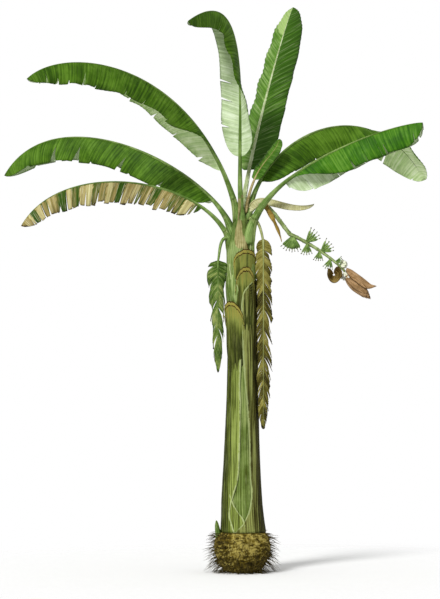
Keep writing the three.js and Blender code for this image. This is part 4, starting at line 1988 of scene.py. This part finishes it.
@dataclass(frozen=True)
class FlowerStalk:
    """The arching flower stalk with its hands of young fruit and its flowers.

    flower_groups holds a group's share of the rachis, its middle angle and how many flowers.
    """

    peduncle: Arch = Arch((0.029, 0.004, 2.650), -2, (62, 0.260), 0.330, -0.118, (-50, 0.190))
    rachis: Arch = Arch((0.359, -0.008, 2.532), -2, (-22, 0.110), 0.412, -0.282, (-52, 0.130))
    peduncle_radii: Pair = (0.017, 0.015)
    rachis_radii: Pair = (0.015, 0.009)
    hands: tuple[Hand, ...] = (
        Hand("hand_1", 0.04, 262, 38, 0.122, 0.062, 201),
        Hand("hand_2_upper", 0.26, 42, 28, 0.112, 0.054, 202),
        Hand("hand_2_lower", 0.28, 268, 26, 0.092, 0.054, 203),
        Hand("hand_3_upper", 0.52, 34, 30, 0.104, 0.048, 204),
        Hand("hand_3_lower", 0.5, 262, 26, 0.078, 0.048, 205),
        Hand("hand_4", 0.7, 254, 26, 0.084, 0.042, 206),
        Hand("hand_5", 0.78, 14, 24, 0.058, 0.036, 207),
    )
    ring_step: float = 0.058
    ring_swell: float = 0.14
    node_swell: float = 1.1
    flower_groups: tuple[tuple[float, float, int], ...] = ((0.88, 24, 7), (0.98, 292, 6), (1.0, 268, 8))
    flower_length: Pair = (0.040, 0.054)
    flower_wall: float = 0.0007
    seed: int = 31

    def _stalk(self, name: str, arch: Arch, radii: Pair) -> Piece:
        """Builds a stalk with the swollen rings of its nodes.

        Args:
            name: The node that the stalk stands for.
            arch: Its arch.
            radii: Its radius at the foot and at the tip.

        Returns:
            The stalk.
        """
        line = arch.line()
        surface = Surface()
        girth = FULL_TURN * radii[0]

        def spot_at(run: float, turn: float) -> Spot:
            """Lays out one spot.

            Args:
                run: Share of the length.
                turn: Share round or across.

            Returns:
                The spot.
            """
            frame = line.at(run)
            ring = cos(FULL_TURN * run * line.length / self.ring_step)
            knot = ease(ring, 0.7, 1.0)
            radius = mix(*radii, run) * (1 + self.ring_swell * knot)
            if run in (0.0, 1.0):
                radius = 0.0
            spoke = turn * FULL_TURN
            place = frame.point + frame.left * (sin(spoke) * radius)
            place -= frame.upper * (cos(spoke) * radius)
            return Spot(place, turn * girth, run * line.length, 0.5, 0.75 * knot)

        def node_at(rise: float, turn: float) -> Spot:
            """Lays out one spot of the round node at the stalk's foot.

            Args:
                rise: Share of the way from pole to pole.
                turn: Share round or across.

            Returns:
                The spot.
            """
            spoke, polar = turn * FULL_TURN, rise * pi
            reach = sin(polar)
            way = Vector((cos(polar), reach * cos(spoke), reach * sin(spoke)))
            place = line.at(0.0).point + way * radii[0] * self.node_swell
            return Spot(place, turn * girth, rise * 0.03, 0.5, 0.4)

        surface.tube(round(line.length / 0.006), 14, spot_at, girth)
        surface.tube(8, 14, node_at, girth)
        return surface.piece(f"{name}_ringed", [FLOWER_STALK], Slot.FRUIT, name)

    def _flowers(self, rachis: RibLine) -> Piece:
        """Builds the cream flowers at the rachis's end.

        Args:
            rachis: The line that the flowers grow on.

        Returns:
            The flowers.
        """
        surface = Surface()
        rng = random.Random(self.seed)
        for at, middle, count in self.flower_groups:
            root = rachis.at(at).point
            for spot in range(count):
                angle = radians(middle + (spot / (count - 1) - 0.5) * 70)
                aim = Vector((cos(angle), rng.uniform(-0.8, 0.5), sin(angle))).normalized()
                self._flower(surface, root, aim, rng)
        return surface.piece("flowers_on_rachis", [FLOWER_SKIN], Slot.FRUIT)

    def _flower(self, surface: Surface, root: Vector, aim: Vector, rng: random.Random) -> None:
        """Adds one tubular flower that opens at its mouth.

        Args:
            surface: The flowers' surface.
            root: The rachis's middle at the flower.
            aim: The flower's direction.
            rng: The flowers' random source.
        """
        length = rng.uniform(*self.flower_length)
        side = aim.orthogonal().normalized()
        other = aim.cross(side)
        tone = rng.random()

        def spot_at(run: float, turn: float) -> Spot:
            """Lays out one spot.

            Args:
                run: Share of the length.
                turn: Share round or across.

            Returns:
                The spot.
            """
            radius = curve_through(((0.0, 0.004), (0.3, 0.0075), (0.7, 0.008), (1.0, 0.012)), run)[0]
            spoke = turn * FULL_TURN
            radius *= 1 + 0.3 * run * cos(5 * spoke)
            if run == 0.0:
                radius = 0.0
            place = root + aim * (0.008 + length * (run - 0.12 * run * cos(5 * spoke)))
            place += side * (cos(spoke) * radius) + other * (sin(spoke) * radius)
            return Spot(place, turn * 0.03, run * length, tone, ease(run, 0.93, 1.0) * 0.6)

        faces = surface.tube(5, 10, spot_at, 0.03)
        surface.thicken(faces, self.flower_wall)

    def build(self) -> list[Piece]:
        """Builds the stalks, the hands and the flowers.

        Returns:
            The pieces.
        """
        rachis = self.rachis.line()
        built = [
            self._stalk("peduncle", self.peduncle, self.peduncle_radii),
            self._stalk("rachis", self.rachis, self.rachis_radii),
        ]
        built += [hand.build(rachis) for hand in self.hands]
        return [*built, self._flowers(rachis)]


@dataclass(frozen=True)
class FlowerBud:
    """The pointed bud of overlapping bracts, with one bract lifted and one rolled back.

    bract_turn is the turn from one bract to the next, and bract_layers how far the innermost
    and the outermost stand off the outline.
    """

    foot: Point = (0.778, -0.024, 2.224)
    length: float = 0.258
    radius: float = 0.048
    angle: float = -44.0
    bracts: int = 13
    outline: Pairs = (
        (0.0, 0.35), (0.2, 0.8), (0.42, 0.92), (0.7, 0.66), (0.9, 0.3), (1.0, 0.03),
    )
    lifted: Arch = Arch((0.782, -0.024, 2.282), 0, (-16, 0.090), 0.218, -0.146, (-38, 0.060))
    lifted_half_width: float = 0.048
    rolled_middle: Point = (0.686, -0.040, 2.230)
    rolled_radius: float = 0.060
    rolled_length: float = 0.104
    core_sink: float = 0.004
    bract_turn: float = 137.5
    bract_half_angle: float = 82
    bract_layers: Pair = (-0.0025, 0.0045)
    bract_wall: float = 0.0014
    lifted_bend: float = 88
    lifted_wall: float = 0.0018
    rolled_wall: float = 0.0022

    @property
    def axis(self) -> Vector:
        """Returns the bud's direction, which lies in the upright plane of the rachis."""
        tilt = radians(self.angle)
        return Vector((cos(tilt), 0, sin(tilt)))

    def _place(self, run: float, turn: float, lift: float) -> Vector:
        """Places a point of the bud.

        Args:
            run: Share of the length.
            turn: Radians round the axis.
            lift: How far it stands off the outline.

        Returns:
            The point.
        """
        axis = self.axis
        over = Vector((-axis.z, 0, axis.x))
        radius = curve_through(self.outline, run)[0] * self.radius + lift
        place = Vector(self.foot) + axis * (run * self.length)
        return place + over * (cos(turn) * radius) + Vector((0, -1, 0)) * (sin(turn) * radius)

    def _closed_bud(self) -> Piece:
        """Builds the core and its overlapping bracts.

        Returns:
            The bud.
        """
        surface = Surface()
        girth = FULL_TURN * self.radius

        def core_at(run: float, turn: float) -> Spot:
            """Lays out one spot of the core.

            Args:
                run: Share of the length.
                turn: Share round or across.

            Returns:
                The spot.
            """
            place = self._place(run, turn * FULL_TURN, -self.core_sink)
            if run in (0.0, 1.0):
                place = Vector(self.foot) + self.axis * (run * self.length)
            return Spot(place, turn * girth, run * self.length, 0.4)

        surface.tube(24, 20, core_at, girth)
        for spot in range(self.bracts):
            layer = 1 - spot / (self.bracts - 1)
            middle = radians(spot * self.bract_turn + 60)
            begin, end = mix(0.0, 0.16, 1 - layer), mix(0.8, 0.995, 1 - layer)
            tone = (spot * 0.618) % 1

            def bract_at(run: float, turn: float) -> Spot:
                """Lays out one spot of a bract.

                Args:
                    run: Share of the length.
                    turn: Share round or across.

                Returns:
                    The spot.
                """
                x = 2 * turn - 1
                along = mix(begin, end, run)
                half = radians(self.bract_half_angle) * dome(run**2.6) + 0.02
                keel = 0.0015 * (1 - abs(x)) ** 2
                lift = mix(*self.bract_layers, layer) + keel + 0.002 * ease(run, 0.8, 1.0) * layer
                wear = max(ease(abs(x), 0.86, 1.0), ease(run, 0.9, 1.0))
                place = self._place(along, middle + x * half, lift)
                return Spot(place, x * half * self.radius, along * self.length, tone, wear * 0.8)

            surface.shell(18, 12, bract_at, self.bract_wall, under=1)
        return surface.piece("flower_bud_bracts", [BUD_OUTER, BUD_INNER], Slot.BUD, "flower_bud")

    def _lifted_bract(self) -> Piece:
        """Builds the cupped bract that has lifted away, with its tip curled back.

        Returns:
            The bract.
        """
        surface = Surface()
        line = self.lifted.line()

        def spot_at(run: float, turn: float) -> Spot:
            """Lays out one spot.

            Args:
                run: Share of the length.
                turn: Share round or across.

            Returns:
                The spot.
            """
            x = 2 * turn - 1
            width = self.lifted_half_width * dome(abs(2 * run - 0.95) ** 2.6) + 0.002
            frame = line.at(run)
            bend = radians(self.lifted_bend) * x
            out = width * sin(bend)
            fall = width * (1 - cos(bend)) * 1.3
            curl = 0.016 * ease(run, 0.82, 1.0) - 0.006 * ease(run, 0.1, 0.4)
            place = frame.point + frame.left * out + frame.upper * (curl - fall)
            wear = max(ease(abs(x), 0.85, 1.0), ease(run, 0.9, 1.0))
            return Spot(place, x * width, run * line.length, 0.5 + 0.3 * x, wear * 0.8)

        surface.shell(26, 14, spot_at, self.lifted_wall, under=1, flip=False)
        return surface.piece("bract_lifted_cup", [BUD_OUTER, BUD_INNER], Slot.BUD, "bract_lifted")

    def _rolled_bract(self) -> Piece:
        """Builds the bract that has rolled back on itself, as a bowed cup open at the front.

        Returns:
            The bract.
        """
        surface = Surface()
        middle = Vector(self.rolled_middle)

        def spot_at(run: float, turn: float) -> Spot:
            """Lays out one spot.

            Args:
                run: Share of the length.
                turn: Share round or across.

            Returns:
                The spot.
            """
            angle = radians(mix(mix(58, 98, turn), mix(-212, -254, turn), run))
            bowl = radians(mix(-6, 82, turn))
            reach = self.rolled_radius * (1 - 0.16 * ease(run, 0.55, 1.0)) * cos(bowl)
            depth = self.rolled_length * (0.62 * sin(bowl) - 0.3)
            lip = 1 + 0.07 * sin(3 * angle) * (1 - turn)
            horn = 0.018 * (ease(run, 0.9, 1.0) + 0.6 * (1 - ease(run, 0.0, 0.1))) * (1 - turn)
            reach *= lip
            place = middle + Vector((cos(angle) * reach, depth, sin(angle) * reach + horn))
            wear = 1 - ease(turn, 0.02, 0.10)
            # The tone falls from the rim into the cup: painted shade in its hollow.
            return Spot(place, turn * 0.1, run * 0.26, 0.75 - 0.5 * turn, wear)

        surface.shell(40, 14, spot_at, self.rolled_wall, under=1, flip=False)
        return surface.piece("bract_curled_cup", [BUD_OUTER, BUD_INNER], Slot.BUD, "bract_curled")

    def build(self) -> list[Piece]:
        """Builds the bud and its two loose bracts."""
        return [self._closed_bud(), self._lifted_bract(), self._rolled_bract()]


@dataclass(frozen=True)
class LooseBract:
    """A long bract by the crown, folded along its rib."""

    name: str
    arch: Arch
    blade: Blade
    rib: float
    finish: Finish
    slot: Slot
    roll: float = 0.0

    def build(self) -> Piece:
        """Builds the bract with its thin rib.

        Returns:
            The bract.
        """
        surface = Surface()
        line = self.arch.line()
        self.blade.add(surface, line, roll=self.roll)
        Rod(((0.0, self.rib), (0.6, self.rib * 0.6), (1.0, 0.0008)), sides=8).add(surface, line)
        return surface.piece(f"{self.name}_folded", [self.finish, self.finish], self.slot, self.name)


def loose_bracts() -> list[LooseBract]:
    """Plans the bracts by the crown.

    Returns:
        The two bracts.
    """
    return [
        LooseBract(
            "bract_flag",
            Arch((0.031, -0.004, 2.700), 4, (72, 0.240), 0.510, 0.062, (18, 0.230)),
            Blade(
                BladeForm(0.068, 0.5, ((60, 60), (68, 68), (35, 30)), tip_blunt=8, closes=(0.75, 1.0)),
                seed=131, more_tears=0, drop=0, wave=5, waves=3, lean=0.0, arch=10, burn=0.12, wall=0.002,
            ),
            0.006, FLAG_SKIN, Slot.PALE_BRACT,
        ),
        LooseBract(
            "bract_dry",
            Arch((0.147, -0.044, 2.782), -10, (-48, 0.090), 0.150, -0.310, (-80, 0.090)),
            Blade(
                BladeForm(0.032, 0.75, ((10, 10), (25, 25), (20, 20))),
                seed=137, more_tears=0, drop=0, wave=14, waves=3, arch=40, burn=0.2, wall=0.0018, columns=8,
            ),
            0.003, DRY_BRACT_SKIN, Slot.DRY_SHEATH, roll=70,
        ),
    ]


# ---- Stage ----


@dataclass(frozen=True)
class Studio:
    """A pale floor, soft light from the upper left and a level camera far in front."""

    floor_radius: float = 3.4
    floor_fade: float = 1.0
    camera_place: Point = (-0.1675, -24.0, 2.04375)
    lens: float = 192.3
    sun_strength: float = 2.7
    ambient: float = 0.58
    sun_from: Point = (-0.5, -0.85, 0.75)

    def _floor(self) -> None:
        """Lays a round floor that fades out towards its edge."""
        mesh = bmesh.new()
        bmesh.ops.create_circle(mesh, cap_ends=True, radius=self.floor_radius, segments=96)
        data = bpy.data.meshes.new("floor")
        mesh.to_mesh(data)
        mesh.free()
        floor = put_in_scene("floor", data)
        made = bpy.data.materials.new("pale_floor")
        made.use_nodes = True
        made.node_tree.nodes.clear()
        graph = Graph(made.node_tree)
        place = graph.node("ShaderNodeTexCoord").outputs["Object"]
        reach = graph.node("ShaderNodeVectorMath", {0: place}, operation="LENGTH").outputs["Value"]
        alpha = graph.spread(reach, self.floor_fade, self.floor_radius * 0.97, 1.0, 0.0)
        shader = graph.node(
            "ShaderNodeBsdfPrincipled",
            {"Base Color": (0.93, 0.93, 0.92, 1), "Roughness": 0.9, "Alpha": alpha},
        )
        graph.node("ShaderNodeOutputMaterial", {"Surface": shader.outputs[0]})
        data.materials.append(made)

    def _lights(self) -> None:
        """Hangs a soft sun at the upper left and fills the rest from a white sky."""
        light = bpy.data.lights.new("key_sun", "SUN")
        light.energy = self.sun_strength
        light.angle = radians(14)
        sun = put_in_scene("key_sun", light)
        sun.rotation_euler = Vector(self.sun_from).to_track_quat("Z", "Y").to_euler()
        world = bpy.data.worlds.new("white_sky")
        bpy.context.scene.world = world
        world.use_nodes = True
        world.node_tree.nodes.clear()
        graph = Graph(world.node_tree)
        seen = graph.node("ShaderNodeLightPath").outputs["Is Camera Ray"]
        white = (1.0, 1.0, 1.0, 1.0)
        sky = graph.node("ShaderNodeBackground", {"Color": white, "Strength": self.ambient})
        paper = graph.node("ShaderNodeBackground", {"Color": white, "Strength": 1.0})
        both = graph.node("ShaderNodeMixShader", {0: seen, 1: sky.outputs[0], 2: paper.outputs[0]})
        graph.node("ShaderNodeOutputWorld", {"Surface": both.outputs[0]})

    def _camera(self) -> None:
        """Stands the camera level in front of the plant."""
        camera = put_in_scene("camera", bpy.data.cameras.new("camera"))
        camera.data.lens = self.lens
        camera.data.clip_end = 100
        camera.location = self.camera_place
        camera.rotation_euler = (radians(90), 0, 0)
        bpy.context.scene.camera = camera
        bpy.context.scene.view_settings.view_transform = "Standard"

    def build(self) -> None:
        """Sets the floor, the lights and the camera."""
        self._floor()
        self._lights()
        self._camera()


def main() -> None:
    """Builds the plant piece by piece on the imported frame."""
    logging.basicConfig(level=logging.INFO, format="%(message)s")
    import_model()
    Studio().build()
    standing = leaves()
    Corm().build()
    SuckerBud().build()
    Pseudostem().build(standing)
    for leaf in [*standing, *hanging_leaves()]:
        leaf.build()
    FlowerStalk().build()
    FlowerBud().build()
    for bract in loose_bracts():
        bract.build()


if __name__ == "__main__":
    main()
